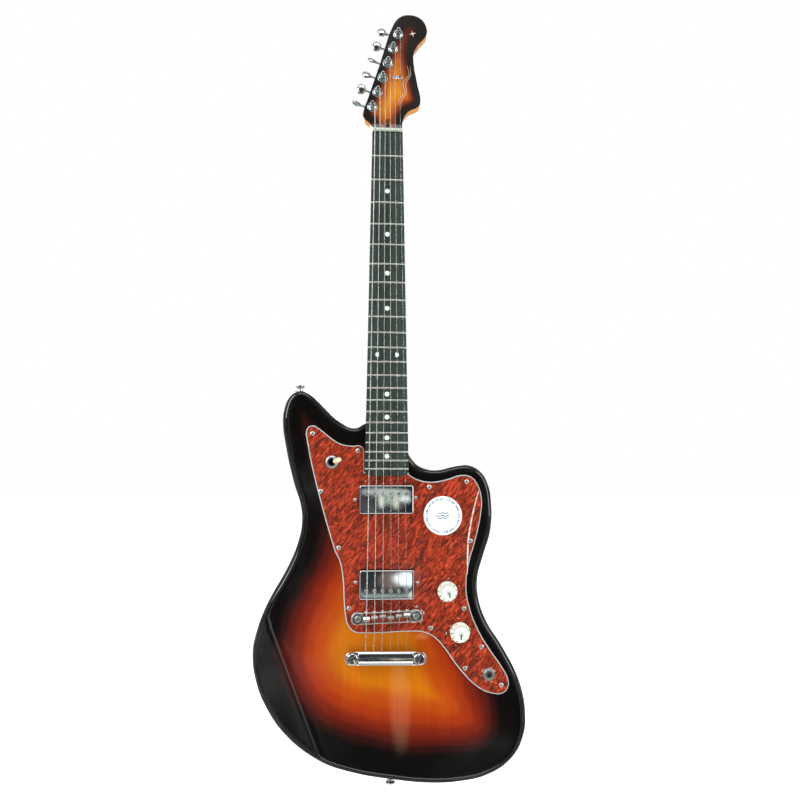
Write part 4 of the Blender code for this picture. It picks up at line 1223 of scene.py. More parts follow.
def build_neck():
    outline = head_outline()
    face = HEAD_FACE
    head = slab(outline, eased(HEAD_THICKNESS, 1.2, face - HEAD_THICKNESS, 3, both=True), grid=3.5)
    low_z = span("neck")[0].z
    heel = slab([(-board_half_width(low_z), low_z), (board_half_width(low_z), low_z),
                 (board_half_width(-396.0), -396.0), (-board_half_width(-396.0), -396.0)],
                eased(BOARD_UNDER - 0.3 + 15.7, 0.8, -15.7, 2, both=True))
    shape = combine(neck_shaft(), [heel, head], "UNION")
    rod_height = -(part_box("truss_rod")[0].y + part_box("truss_rod")[1].y) / 2 / MM
    cutters = [ramp_cutter(),
               moved(block((6.4, 444.0, 10.0)), move(0.0, -226.0, 1.6)),
               moved(rod(4.2, -8.0, 23.0, 24), move(0.0, 0.0, rod_height) @ spin(-90, "X"))]
    for number in STRINGS:
        cutters.append(moved(rod(5.2, -20.0, 6.0, 28), move(*middle(f"tuner_post_{number}"))))
    shape = combine(shape, cutters)
    thing = piece("neck_wood", upright(shape), [finish("maple"), finish("headstock_lacquer")],
                  stands_for=("neck",), sharp=32.0)
    for part in thing.data.polygons:
        if part.normal.y < -0.6 and part.center.z > 3.0 * MM:
            part.material_index = 1
    lowered = [(x, z if z > 5.0 else -6.0) for x, z in outline]
    # Painted shade: the stored edge share is cut towards the top of the headstock, which darkens
    # its burst there.
    edge_attribute(thing, lowered, HEAD_REACH,
                   lambda spot, share: share * (1 - HEAD_SHADING * climb(spot[1], HEAD_SHADED)))
    build_head_marks()


def build_head_marks():
    """Plain inlaid lines on the headstock: a tapering wave and a small four-point star."""
    thickness = 0.08
    strokes = []
    start, end = Vector((17.0, 44.0)), Vector((31.0, 104.0))
    along = (end - start).normalized()
    side = Vector((-along.y, along.x))
    for lift, reach in ((0.0, 2.6), (3.2, 1.8)):
        line = []
        for i in range(49):
            share = i / 48
            spot = start.lerp(end, share) + side * (reach * math.sin(share * 14.0) - lift)
            line.append((spot.x, spot.y, HEAD_FACE + 0.02))
        strokes.append(ribbon(line, 0.55, thickness))
    star = []
    for i in range(8):
        reach = 5.0 if i % 2 == 0 else 1.2
        turn = math.pi * i / 4 + 0.3
        star.append((36.0 + reach * math.cos(turn), 153.0 + reach * math.sin(turn)))
    strokes.append(slab(star, [(0.0, HEAD_FACE), (0.0, HEAD_FACE + thickness)]))
    piece("headstock_inlay_lines", upright(merge(*strokes)), finish("decal_cream"))


def ribbon(points, width, thickness):
    """A flat strip along points (x, y, height), tapering to its ends."""
    spots = [Vector(p) for p in points]
    shape = bmesh.new()
    rings = []
    for i, spot in enumerate(spots):
        ahead = spots[min(i + 1, len(spots) - 1)] - spots[max(i - 1, 0)]
        side = Vector((-ahead.y, ahead.x, 0.0)).normalized()
        share = i / (len(spots) - 1)
        half = width / 2 * (0.25 + 0.75 * math.sin(math.pi * share) ** 0.5)
        rings.append([shape.verts.new(spot + side * half * sx + Vector((0, 0, thickness * sz)))
                      for sx, sz in ((-1, 0), (1, 0), (1, 1), (-1, 1))])
    for low, high in zip(rings, rings[1:]):
        bridge_rings(shape, low, high)
    shape.faces.new(rings[0])
    shape.faces.new(rings[-1])
    return shape


# ---------------------------------------------------------------------------------------------
# Fretboard
# ---------------------------------------------------------------------------------------------


def crowned(shape, above=6.0):
    """Bends everything above a height down to the board's crown."""
    for corner in shape.verts:
        if corner.co.z > above:
            corner.co.z -= crown_drop(corner.co.x)
    return shape


def board_outline():
    end_z = span("fretboard")[0].z
    end, corner = board_half_width(end_z), 8.0
    side = [(-board_half_width(0.0), -0.15), (-end, end_z + corner)]
    for i in range(1, 9):
        turn = math.pi / 2 * i / 8
        side.append((-end + corner * (1 - math.cos(turn)), end_z + corner * (1 - math.sin(turn))))
    return side + [(-x, z) for x, z in reversed(side)]


def fret_wire(number):
    """One fret: a crowned wire bent to the board, its ends bevelled back."""
    z = fret_z(number)
    half = board_half_width(z) - 0.1
    width, height = size("fret_width"), size("fret_height")
    shape = bmesh.new()
    rings = []
    stations = [-1.0, -0.985, -0.96] + [i / 8 - 0.875 for i in range(15)] + [0.96, 0.985, 1.0]
    for share in stations:
        x = half * share
        tall = height * (0.1 if abs(share) == 1.0 else 0.62 if abs(share) > 0.98 else 1.0)
        base = BOARD_TOP - crown_drop(x)
        section = [(-width / 2, -0.4)]
        for i in range(9):
            turn = math.pi * i / 8
            section.append((-width / 2 * math.cos(turn), tall * math.sin(turn) ** 0.8))
        section.append((width / 2, -0.4))
        rings.append([shape.verts.new((x, z + along, base + up)) for along, up in section])
    for low, high in zip(rings, rings[1:]):
        bridge_rings(shape, low, high)
    shape.faces.new(rings[0])
    shape.faces.new(rings[-1])
    return shape


def dot_places():
    for number in (*SINGLE_DOTS, DOUBLE_DOT):
        z = (fret_z(number) + fret_z(number - 1)) / 2
        for x in (-12.5, 12.5) if number == DOUBLE_DOT else (0.0,):
            yield x, z


def build_fretboard():
    board = slab(board_outline(), [(0.0, BOARD_UNDER), (0.0, BOARD_TOP - 0.35),
                                   (0.1, BOARD_TOP - 0.1), (0.35, BOARD_TOP)], grid=4.0)
    board = crowned(board)
    piece("fretboard_wood", upright(board), finish("rosewood"),
          stands_for=("fretboard",))
    frets = merge(*[fret_wire(number) for number in range(1, fret_count() + 1)])
    piece("fret_wires", upright(frets), finish("fret_nickel"))
    radius = size("dot_radius")
    dot = lathe([(0.0, -1.0), (radius, -1.0), (radius, 0.02), (radius - 0.1, 0.06), (0.0, 0.09)],
                32)
    moves = [move(x, z, BOARD_TOP - crown_drop(x)) for x, z in dot_places()]
    piece("position_dots", upright(copies(dot, moves)), finish("pearl"))
    side = lathe([(0.0, -0.6), (1.0, -0.6), (1.0, 0.03), (0.0, 0.06)], 20)
    side_moves = []
    for number in (*SINGLE_DOTS, DOUBLE_DOT):
        z = (fret_z(number) + fret_z(number - 1)) / 2
        for offset in (-3.0, 3.0) if number == DOUBLE_DOT else (0.0,):
            side_moves.append(move(-board_half_width(z + offset), z + offset, 8.2)
                              @ spin(-90, "Y"))
    piece("side_dots", upright(copies(side, side_moves)), finish("bone"))
    build_nut()


def fret_count():
    return bpy.context.scene.guitar_sizes.frets


def build_nut():
    """The nut, its top following the strings, with a filed slot under each."""
    low, high = span("string_nut")
    width, thickness = high.x - low.x, high.z - low.z
    height = front("string_nut") - BOARD_UNDER
    nut = moved(block((width, thickness, height), 0.45, 3),
                move(0.0, (low.z + high.z) / 2, BOARD_UNDER + height / 2))
    slots = []
    for number in STRINGS:
        x = string_x(number, size("nut_spacing"))
        radius = string_radius(number)
        floor = string_forward(number) - radius - 0.05
        cutter = merge(moved(rod(radius + 0.1, -6.0, 6.0, 16), spin(90, "X")))
        slots.append(moved(cutter, move(x, 1.8, floor + radius + 0.1)))
        slots.append(moved(block((radius * 2 + 0.24, 12.0, 3.0)),
                           move(x, 1.8, floor + radius + 1.6)))
    piece("nut_slotted", upright(combine(nut, slots)), finish("bone"),
          stands_for=("string_nut",))


# ---------------------------------------------------------------------------------------------
# Pickguard and what is on it
# ---------------------------------------------------------------------------------------------


def build_pickguard():
    top, under = front("pickguard"), back("pickguard")
    loops = slices("pickguard", (top + under) / 2)
    outline = smooth(loops[0])
    holes = [smooth(loop) for loop in loops[1:]]
    bevel = size("guard_bevel")
    levels = [(0.0, under), (0.0, under + 0.7), (0.0, under + 1.0), (bevel * 0.35, under + 1.5),
              (bevel, top)]
    shape = slab(outline, levels, holes, coats=(1, 2, 1, 1), cap_coats=(1, 0))
    piece("guard_plate", upright(shape),
          [finish("shell"), finish("ply_white"), finish("black_plastic")],
          stands_for=("pickguard",), sharp=25.0)
    head = screw_head(3.0, 1.1)
    moves = [move(x, z, top + 0.05) @ spin(i * 37.0) for i, (x, z) in enumerate(GUARD_SCREWS)]
    piece("guard_screws", upright(copies(head, moves)), finish("nickel"))
    small = screw_head(2.2, 1.2)
    moves = [move(x, z, top + 0.05) @ spin(i * 50.0) for i, (x, z) in enumerate(PICKUP_SCREWS)]
    piece("pickup_height_screws", upright(copies(small, moves)), finish("nickel"))
    build_film(top)
    build_sticker(top)


def build_film(top):
    """Protective film: its lifted edge by the treble bout, and creases round what pierces it."""
    rng = random.Random(SEED)
    line = smooth([*FILM_EDGE], 6)
    line = line[:line.index(min(line, key=lambda spot: spot[1])) + 1]
    strips = [ribbon([(x, z, top + 0.02) for x, z in line], 2.2, 0.25)]
    spots = [(middle("bridge_post_treble"), 9.6, 11.6, 26, 1.3),
             (middle("volume_knob"), 14.0, 17.0, 5, 0.6), (middle("tone_knob"), 14.0, 18.0, 7, 0.7),
             (middle("output_jack"), 7.6, 10.5, 14, 0.6), ((0.0, -474.0), 22.0, 30.0, 7, 0.7)]
    for (x, z), near, far, count, width in spots:
        for _ in range(count):
            turn = rng.uniform(0, 2 * math.pi)
            if near == 22.0:
                turn = rng.choice((rng.uniform(2.9, 3.5), rng.uniform(-0.4, 0.3)))
            reach = rng.uniform(near, far)
            bend = rng.uniform(-0.9, 0.9)
            run = rng.uniform(1.2, 3.6)
            crease = []
            for i in range(5):
                angle = turn + run * (i / 4 - 0.5) / reach + rng.uniform(-0.03, 0.03)
                out = reach + bend * (i / 4 - 0.5)
                crease.append((x + out * math.cos(angle), z + out * math.sin(angle),
                               top + rng.uniform(0.02, 0.12)))
            strips.append(ribbon(crease, width, rng.uniform(0.12, 0.3)))
    piece("guard_film_creases", upright(merge(*strips)), finish("film"))


def build_sticker(top):
    """A round paper sticker with a plain printed ring and centre mark."""
    rng = random.Random(SEED + 1)
    radius = size("sticker_radius")
    here = place(point(*STICKER, top + 0.02))
    disc = lathe([(0.0, 0.0), (radius - 0.1, 0.0), (radius, 0.05), (radius, 0.14),
                  (radius - 0.1, 0.18), (0.0, 0.18)], 96)
    marks = []
    turn = 0.0
    while turn < 6.1:
        run = rng.uniform(0.03, 0.085)
        marks.append(moved(block((run * 21.6 * 0.8, rng.uniform(2.2, 3.3), 0.04)),
                           spin(math.degrees(turn)) @ move(0.0, 21.6, 0.2)))
        turn += run + rng.choice((0.03, 0.03, 0.03, 0.09))
    for i, half in enumerate((8.5, 10.5, 8.5)):
        wave = [(half * (k / 12 - 0.5) * 2, 3.0 - 3.2 * i + 0.9 * math.sin(k * 1.4), 0.19)
                for k in range(13)]
        marks.append(ribbon(wave, 1.2, 0.03))
    piece("round_sticker", disc, finish("sticker_paper"), here)
    piece("sticker_print", merge(*marks), finish("sticker_blue"), here)


def build_pickups():
    """Two covered humbuckers: chromed covers with a row of slotted poles, over their coils."""
    for name, row in (("neck_pickup", 7.8), ("bridge_pickup", -7.3)):
        low, high = span(f"{name}_cover")
        x, z = middle(f"{name}_cover")
        width, height = high.x - low.x, high.z - low.z
        top, depth = -low.y, high.y - low.y
        here = place(point(x, z, top))
        outer = slab(rectangle(0.0, 0.0, width, height, 3.0, 8), eased(depth, 1.5, -depth, 6))
        hollow = moved(block((width - 1.6, height - 1.6, depth)), move(0.0, 0.0, -0.8 - depth / 2))
        spots = [(string_x(n, 10.4) - x, row) for n in STRINGS]
        wells = [moved(rod(3.0, -0.6, 2.0, 28), move(*spot)) for spot in spots]
        piece(f"{name}_cover_plate", combine(outer, [hollow, *wells]), finish("cover_chrome"),
              here, name, (f"{name}_cover",), 28.0)
        stem = rounded([(0.0, -4.0), (2.4, -4.0), (2.4, 0.12), (0.0, 0.34)], 0.4)
        pole = combine(lathe(stem, 28), [moved(block((5.4, 0.9, 1.2)), move(0.0, 0.0, 0.3))])
        moves = [move(*spot, -0.1) @ spin(17.0 * i) for i, spot in enumerate(spots)]
        piece(f"{name}_poles", copies(pole, moves), finish("nickel"), here, name)
        dress(f"{name}_coils", finish("coil_wire"))


# ---------------------------------------------------------------------------------------------
# Controls
# ---------------------------------------------------------------------------------------------


def numeral(text, height):
    """A printed number as a thin shape, centred on its own origin."""
    curve = bpy.data.curves.new("numeral", "FONT")
    curve.body = text
    curve.size = height / 0.7
    curve.align_x = "CENTER"
    curve.align_y = "CENTER"
    curve.extrude = 0.04
    curve.offset = 0.09
    curve.resolution_u = 2
    thing = bpy.data.objects.new("numeral", curve)
    bpy.context.scene.collection.objects.link(thing)
    bpy.context.view_layer.update()
    graph = bpy.context.evaluated_depsgraph_get()
    made = bpy.data.meshes.new_from_object(thing.evaluated_get(graph))
    shape = bmesh.new()
    shape.from_mesh(made)
    bmesh.ops.remove_doubles(shape, verts=shape.verts, dist=0.001)
    bpy.data.objects.remove(thing)
    bpy.data.curves.remove(curve)
    bpy.data.meshes.remove(made)
    return shape


def build_knob(name, start):
    """A white skirted knob with grooved sides, numbers on its skirt and a plain pointer mark."""
    here = place(point(*middle(name)))
    top = front(name)
    profile = rounded([(0.0, top - 0.5), (6.6, top - 0.5), (7.2, top), (8.4, top)], 0.5)
    profile += rounded([(8.4, top), (9.2, top - 0.8), (10.1, 8.6), (10.4, 8.0), (12.7, 5.6),
                        (13.0, 5.0), (13.0, 3.4), (12.4, 3.3), (11.8, 3.3)], 0.4)[1:]
    profile += [(8.6, 7.0), (8.2, 11.0), (3.0, 11.0), (3.0, -4.0), (0.0, -4.0)]
    shape = lathe(profile, 96, (9.0, top - 1.0, 0.35))
    piece(f"{name}_white", shape, finish("white_plastic"), here,
          name.split("_")[0], (name,), 40.0)
    marks = []
    slope = spin(-45, "X")
    for number in range(1, 11):
        turn = start - number * 32.0
        shape = moved(numeral(str(number), 2.9),
                      spin(turn) @ move(0.0, 11.55, 6.85) @ slope)
        marks.append(coated(shape, 1 if number == 10 else 0))
    marks.append(moved(block((2.0, 8.0, 0.08), 0.02, 1),
                       spin(start - 176) @ move(0.0, 3.4, top - 0.47)))
    marks.append(moved(lathe([(2.2, 0.0), (2.7, 0.0), (2.7, 0.07), (2.2, 0.07), (2.2, 0.0)], 32),
                       move(0.0, 0.0, top - 0.52)))
    piece(f"{name}_numbers", merge(*marks), [finish("print_green"), finish("print_amber")],
          here, name.split("_")[0])


TOGGLE_REACH = 28.0


def build_switch():
    """Three-way pickup switch: its knurled ring nut, washer, and lever with a cream tip."""
    spot = middle("toggle_switch")
    ring = rounded([(6.35, 2.7), (8.9, 2.7), (8.9, 4.9), (6.9, 6.3), (5.0, 6.3), (5.0, 2.7)], 0.4)
    ring.append(ring[0])
    piece("toggle_ring_nut", lathe(ring, 72, (2.8, 5.2, 0.25)), finish("nickel"),
          place(point(*spot)))
    dress("toggle_switch", finish("black_steel"))
    lever = frame["nodes"]["toggle_lever"]
    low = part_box("toggle_lever")[0]
    joint = next(j for j in frame["joints"] if j["name"] == "pickup_switch")
    pivot = Vector(joint["pos_m"])
    axis = Vector(joint["axis"])
    tip = max((v.co for v in lever.data.vertices), key=lambda co: (co - pivot).length)
    heading = Vector((tip.x, low.y, tip.z)) - pivot
    heading -= axis * heading.dot(axis)
    turn = heading.to_track_quat("Z", "Y").to_matrix().to_4x4()
    here = Matrix.Translation(pivot) @ turn
    stalk = lathe(rounded([(0.0, -2.0), (2.1, -1.4), (2.1, 1.4), (1.5, 3.0), (1.5, 13.0),
                           (0.0, 13.0)], 0.5), 32)
    piece("toggle_stalk", stalk, finish("chrome"), here, "switch_lever")
    cap = lathe(rounded([(1.5, 9.4), (2.7, 9.6), (3.3, 12.4), (3.3, 22.4), (3.0, 25.6),
                         (1.9, 27.3), (0.0, TOGGLE_REACH - 0.1)], 1.4, 5), 40)
    piece("toggle_tip", cap, finish("cream_plastic"), here, "switch_lever",
          ("toggle_lever",))


def build_jack():
    """Output socket: threaded sleeve and a round nut on the pickguard."""
    spot = middle("output_jack")
    dress("output_jack", finish("nickel"))
    profile = rounded([(5.1, 2.7), (6.9, 2.7), (6.9, 4.2), (6.4, 4.7), (5.1, 4.7), (4.95, 4.0),
                       (5.1, 2.7)], 0.25)
    profile[-1] = profile[0]
    piece("jack_ring_nut", lathe(profile, 60, (2.9, 4.3, 0.2)), finish("nickel"),
          place(point(*spot)), stands_for=("jack_nut",))
    washer = lathe([(5.2, 2.52), (8.0, 2.52), (8.0, 2.7), (5.2, 2.7), (5.2, 2.52)], 48)
    piece("jack_washer", washer, finish("nickel"), place(point(*spot)))


def build_controls():
    build_knob("volume_knob", 15.0)
    build_knob("tone_knob", -10.0)
    build_switch()
    build_jack()
    dress("volume_pot", finish("nickel"))
    dress("tone_pot", finish("nickel"))
    dress("tone_capacitor", finish("brown_plastic"))


# ---------------------------------------------------------------------------------------------
# Bridge, tailpiece and strings
# ---------------------------------------------------------------------------------------------


def in_frame(matrix, x, y, z):
    """A spot given inside a frame in metres, back in millimetres of the guitar's axes."""
    return (matrix @ (Vector((x, y, z)) * MM)) / MM


def local_x(matrix, node):
    """Where a node's middle lies along the bar, in the bar's own frame."""
    low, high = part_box(node)
    return (matrix.inverted() @ ((low + high) / 2)) / MM


def build_bridge():
    """The bridge: a bar with a long well, its saddles and screws, and its two slotted posts."""
    here = bridge_place()
    half = (Vector(middle("bridge_post_treble")) - Vector(middle("bridge_post_bass"))).length / 2
    outline = []
    for side in (1, -1):
        for i in range(17):
            turn = math.radians(-58 + 116 * i / 16) + (0 if side > 0 else math.pi)
            outline.append((side * half + 8.6 * math.cos(turn), 8.6 * math.sin(turn)))
    holes = [circle(side * half, 0.0, 4.2, 40) for side in (1, -1)]
    well = rectangle(0.0, 0.0, 62.4, 11.4, 1.0, 3)
    bar = slab(outline, eased(4.6, 0.9, 8.4, 4, both=True), [*holes, well])
    piece("bridge_bar", bar, finish("nickel"), here, "bridge", ("bridge_frame",), 30.0)
    collar = lathe(rounded([(4.3, 12.6), (7.0, 12.6), (7.0, 13.5), (4.3, 13.5), (4.3, 12.6)], 0.3),
                   56)
    piece("bridge_collars", copies(collar, [move(side * half, 0.0) for side in (1, -1)]),
          finish("chrome"), here, "bridge")
    screws = []
    for number in STRINGS:
        x = string_x(number, size("bridge_spacing"))
        thread = []
        for i in range(40):
            thread.append((1.0 if i % 2 else 0.82, -5.6 + 11.2 * i / 39))
        screw = lathe([(0.0, -5.7), (0.82, -5.7), *thread, (0.82, 9.2), (0.0, 9.2)], 14)
        cheese = rounded([(0.0, 0.0), (2.2, 0.0), (2.2, 1.5), (0.0, 1.9)], 0.5)
        head = moved(combine(lathe(cheese, 24),
                             [moved(block((5.0, 0.6, 1.2)), move(0.0, 0.0, 1.9))]),
                     move(0.0, 0.0, 7.4) @ spin(20.0 * number))
        screws.append(moved(merge(screw, head), move(x, 0.0, 10.8) @ spin(-90, "X")))
    piece("intonation_screws", merge(*screws), finish("chrome"), here, "bridge")
    for number in STRINGS:
        build_saddle(number, here)
    for side in ("bass", "treble"):
        build_bridge_post(side)


def build_saddle(number, here):
    """One saddle: a block with a filed roof, a notch for its string and a bore for its screw."""
    spot = local_x(here, f"saddle_{number}")
    peak = string_forward_at_saddle(number) - string_radius(number)
    profile = [(-3.0, 8.95), (3.0, 8.95), (3.0, 12.4), (0.5, peak + 0.1), (-0.5, peak + 0.1),
               (-3.0, 12.4)]
    block_shape = moved(slab(profile, [(0.25, -4.2), (0.0, -3.95), (0.0, 3.95), (0.25, 4.2)]),
                        ALONG_BAR)
    bore = moved(rod(1.35, -9.0, 9.0, 20), move(0.0, 0.0, 10.8) @ spin(90, "X"))
    notch = moved(rod(string_radius(number) + 0.08, -6.0, 6.0, 12),
                  move(0.0, 0.0, string_forward_at_saddle(number) + 0.06) @ spin(90, "X"))
    piece(f"saddle_block_{number}", combine(block_shape, [bore, notch]), finish("nickel"),
          here @ shifted(spot.x, spot.y, 0.0), f"saddle_{number}", (f"saddle_{number}",), 25.0)


def build_bridge_post(side):
    """A threaded post with a slotted top and a knurled wheel that the bridge stands on."""
    node = f"bridge_post_{side}"
    thread = [(3.0 if i % 2 else 2.7, -19.6 + 26.0 * i / 51) for i in range(52)]
    profile = [(0.0, -20.0), (2.7, -20.0), *thread, (3.0, 6.8)]
    profile += rounded([(3.0, 6.8), (8.2, 6.8), (8.2, 8.1), (3.7, 8.1)], 0.25)[1:]
    profile += rounded([(3.7, 8.1), (3.7, 14.8), (3.1, 15.2), (0.0, 15.2)], 0.3)[1:]
    shape = lathe(profile, 64, (6.9, 8.0, 0.3))
    slot = moved(block((9.0, 1.1, 3.0)),
                 move(0.0, 0.0, 15.2) @ spin(8.0 if side == "bass" else 50.0))
    piece(f"{node}_threaded", combine(shape, [slot]), finish("nickel"),
          place(point(*middle(node))), f"{side}_post", (node,), 30.0)


def build_tailpiece():
    """The stop bar, its crown polished between flat ears, hooked on two slotted studs."""
    here = tail_place()
    half = (Vector(middle("tailpiece_stud_treble"))
            - Vector(middle("tailpiece_stud_bass"))).length / 2
    ear, reach = 8.6, 52.0
    outline = []
    for side in (1, -1):
        for i in range(25):
            turn = math.pi * i / 24
            outline.append((side * (reach - ear + ear * math.sin(turn)),
                            -side * ear * math.cos(turn)))
    bar = slab(outline, eased(7.2, 1.4, 6.0, 4, both=True))
    crown = [(-ear + 0.05, 6.2), (ear - 0.05, 6.2), (ear - 0.05, 10.9)]
    crown += [((ear - 0.05) * math.cos(t), 10.9 + 4.55 * math.sin(t) ** 0.85)
              for t in [math.pi * i / 24 for i in range(1, 24)]] + [(-ear + 0.05, 10.9)]
    hump = moved(slab(crown, [(1.2, -35.0), (0.35, -34.7), (0.0, -33.9), (0.0, 33.9), (0.35, 34.7),
                              (1.2, 35.0)]), ALONG_BAR)
    cutters = []
    for side in (1, -1):
        cutters.append(moved(block((7.8, 16.0, 24.0)), move(side * half, 8.0, 9.0)))
        cutters.append(moved(rod(3.9, -2.0, 22.0, 40), move(side * half, 0.0)))
    for number in STRINGS:
        x = string_x(number, size("bridge_spacing"))
        cutters.append(moved(rod(1.6, -12.0, 12.0, 20), move(x, 0.0, 11.0) @ spin(90, "X")))
    shape = combine(combine(bar, [hump], "UNION"), cutters)
    piece("tailpiece_bridge_bar", shape, finish("chrome"), here,
          stands_for=("tailpiece_bar",), sharp=32.0)
    for side, turn in STUD_SLOT_TURNS.items():
        node = f"tailpiece_stud_{side}"
        ridges = [(5.9 if i % 2 else 5.6, -21.6 + 24.4 * i / 31) for i in range(32)]
        profile = [(0.0, -22.0), (5.5, -22.0), *ridges, (5.6, 3.2)]
        profile += rounded([(5.6, 3.2), (6.4, 3.2), (6.4, 5.6), (3.5, 5.6), (3.5, 13.6),
                            (7.2, 13.6), (7.2, 16.0), (6.3, 17.2), (0.0, 17.4)], 0.7)[1:]
        shape = combine(lathe(profile, 56), [moved(block((20.0, 1.7, 3.0)),
                                                   move(0.0, 0.0, 17.4) @ spin(turn))])
        piece(f"{node}_slotted", shape, finish("chrome"), place(point(*middle(node))),
              stands_for=(node,), sharp=30.0)


TREE_DROP = 1.7
WINDING_FORWARD = 7.6
SADDLE_FORWARD = 16.3
TAIL_FORWARD = 11.0


def string_forward_at_saddle(number):
    return SADDLE_FORWARD - crown_drop(string_x(number, size("bridge_spacing")))


def string_line(number):
    """A string's centre line from its ball end, over saddle and nut, wound down its post."""
    radius = string_radius(number)
    tail, here = tail_place(), bridge_place()
    x = string_x(number, size("bridge_spacing"))
    saddle = local_x(here, f"saddle_{number}")
    nut_x, nut_forward = string_x(number, size("nut_spacing")), string_forward(number)
    nut_top = span("string_nut")[1].z
    post = Vector(middle(f"tuner_post_{number}"))
    wrap = 2.6 + 0.12 + radius
    points = [in_frame(tail, x, -6.6, TAIL_FORWARD), in_frame(tail, x, 8.8, TAIL_FORWARD),
              in_frame(here, saddle.x, saddle.y, string_forward_at_saddle(number)),
              point(nut_x, 0.0, nut_forward), point(nut_x, nut_top + 0.1, nut_forward)]
    arrive = WINDING_FORWARD
    if number <= 2:
        tree = middle("string_tree")
        share = (tree[1] - nut_top) / (post.y - nut_top)
        points.append(point(nut_x + (post.x + wrap - nut_x) * share, tree[1],
                            WINDING_FORWARD - TREE_DROP))
    points.append(point(post.x + wrap, post.y, arrive))
    line = [Vector(spot) for spot in rounded(points, 1.6, 4)]
    turns = 3.6 if number < 3 else 2.6 if number < 5 else 2.1
    steps = round(turns * 20)
    for i in range(1, steps + 1):
        turn = turns * 2 * math.pi * i / steps
        drop = (2 * radius + 0.05) * turn / (2 * math.pi)
        line.append(point(post.x + wrap * math.cos(turn), post.y + wrap * math.sin(turn),
                          arrive - drop))
    return line


def build_strings():
    """Six strings with their windings, and the ball ends behind the tailpiece."""
    balls = []
    for number in STRINGS:
        line = string_line(number)
        shape = wire(line, string_radius(number), 12)
        plain = number <= 3
        piece(f"string_{number}_wire", shape, finish("plain_string" if plain else "wound_string"),
              stands_for=(f"string_{number}",),
              sharp=50.0)
        ball = lathe(rounded([(0.5, -1.5), (1.5, -1.5), (1.15, 0.0), (1.5, 1.5), (0.5, 1.5)], 0.4)
                     + [(0.5, -1.5)], 24)
        spot = line[0]
        balls.append(moved(ball, Matrix.Translation(spot) @ spin(90, "Y")))
    piece("string_ball_ends", merge(*balls), finish("fret_nickel"))


# ---------------------------------------------------------------------------------------------
# Machine heads, strap buttons and neck plate
# ---------------------------------------------------------------------------------------------

WORM_OFFSET = 7.1
WORM_DEPTH = 20.0


def tuner_housing():
    """A cast gear case with an eared foot, rounded back and the collar of its shaft."""
    under = -HEAD_THICKNESS - 0.3
    case = moved(slab(rectangle(0.0, 0.0, 17.0, 21.0, 4.2, 8),
                      [(0.5, 0.0), (0.0, 0.5), (0.0, 7.6), (0.5, 9.6), (1.7, 11.1), (3.4, 11.6)]),
                 move(0.8, -2.6, under) @ spin(180, "X"))
    collar = moved(lathe(rounded([(0.0, -1.0), (3.4, -1.0), (3.4, 1.0), (2.9, 2.6), (0.0, 2.6)],
                                 0.3), 28),
                   move(9.0, -WORM_OFFSET, -WORM_DEPTH) @ spin(90, "Y"))
    bush = moved(rod(4.9, under - 1.0, 0.9, 32), UPRIGHT)
    case = combine(case, [collar, bush], "UNION")
    sideways = move(0.0, -WORM_OFFSET, -WORM_DEPTH) @ spin(90, "Y")
    cutters = [rod(3.5, under - 4.0, 4.0, 32), rod(5.1, -WORM_DEPTH - 2.5, -WORM_DEPTH + 2.5, 32),
               moved(rod(2.7, -5.8, 5.8, 24), sideways), moved(rod(2.2, 5.0, 15.0, 24), sideways)]
    return combine(case, cutters)


def tuner_nut():
    """The washer and the hex nut that clamp a machine head to the headstock's face."""
    washer = lathe(rounded([(3.4, 0.05), (7.25, 0.05), (7.25, 0.55), (6.7, 0.95), (3.4, 0.95),
                            (3.4, 0.05)], 0.2), 48)
    hexagon = slab(circle(0.0, 0.0, 5.9, 6), [(0.0, 0.9), (0.0, 1.9), (0.7, 2.4)],
                   [circle(0.0, 0.0, 3.4, 32)])
    sleeve = lathe(rounded([(3.3, 0.9), (4.5, 0.9), (4.5, 2.9), (4.1, 3.3), (3.3, 3.3), (3.3, 0.9)],
                           0.25), 40)
    return merge(washer, hexagon, sleeve)


def tuner_post():
    """A waisted string post with its cross hole, above the worm wheel."""
    profile = rounded([(0.0, 12.8), (2.3, 12.8), (2.9, 12.0), (2.9, 10.2), (2.6, 8.6), (2.6, 5.4),
                       (3.05, 4.2), (3.05, -WORM_DEPTH + 2.0)], 0.5)
    profile += rounded([(3.05, -WORM_DEPTH + 2.0), (4.6, -WORM_DEPTH + 2.0),
                        (4.6, -WORM_DEPTH - 2.0), (0.0, -WORM_DEPTH - 2.0)], 0.3)[1:]
    post = lathe(profile, 40, (-WORM_DEPTH - 1.6, -WORM_DEPTH + 1.7, 0.5))
    hole = moved(rod(0.7, -5.0, 5.0, 14), move(0.0, 0.0, 9.6) @ spin(70) @ spin(90, "X"))
    return combine(post, [hole])


def tuner_button():
    """The worm shaft and its oval cast button, slightly waisted towards the shaft."""
    shaft = moved(lathe([(0.0, -5.0), (2.05, -5.0), (1.6, -4.0), (2.05, -3.0), (1.6, -2.0),
                         (2.05, -1.0), (1.6, 0.0), (2.05, 1.0), (1.6, 2.0), (2.05, 3.0),
                         (1.6, 4.0), (2.05, 5.0), (1.7, 5.4), (1.7, 17.4), (2.3, 18.6),
                         (2.5, 20.4), (0.0, 22.0)], 24), spin(90, "Y"))
    grip = bmesh.new()
    bmesh.ops.create_uvsphere(grip, u_segments=40, v_segments=24, radius=1.0)
    for corner in grip.verts:
        x, y, z = corner.co
        wide = 8.8 * (1.0 + 0.1 * x)
        thick = 3.4 * (1.0 - 0.3 * y * y) * (1.0 - 0.12 * max(0.0, -x))
        flat = math.copysign(abs(z) ** 0.75, z)
        corner.co = (x * 6.6 + 26.0, y * wide / 1.1, max(-1.0, min(1.0, flat)) * thick)
    return combine(shaft, [grip], "UNION")


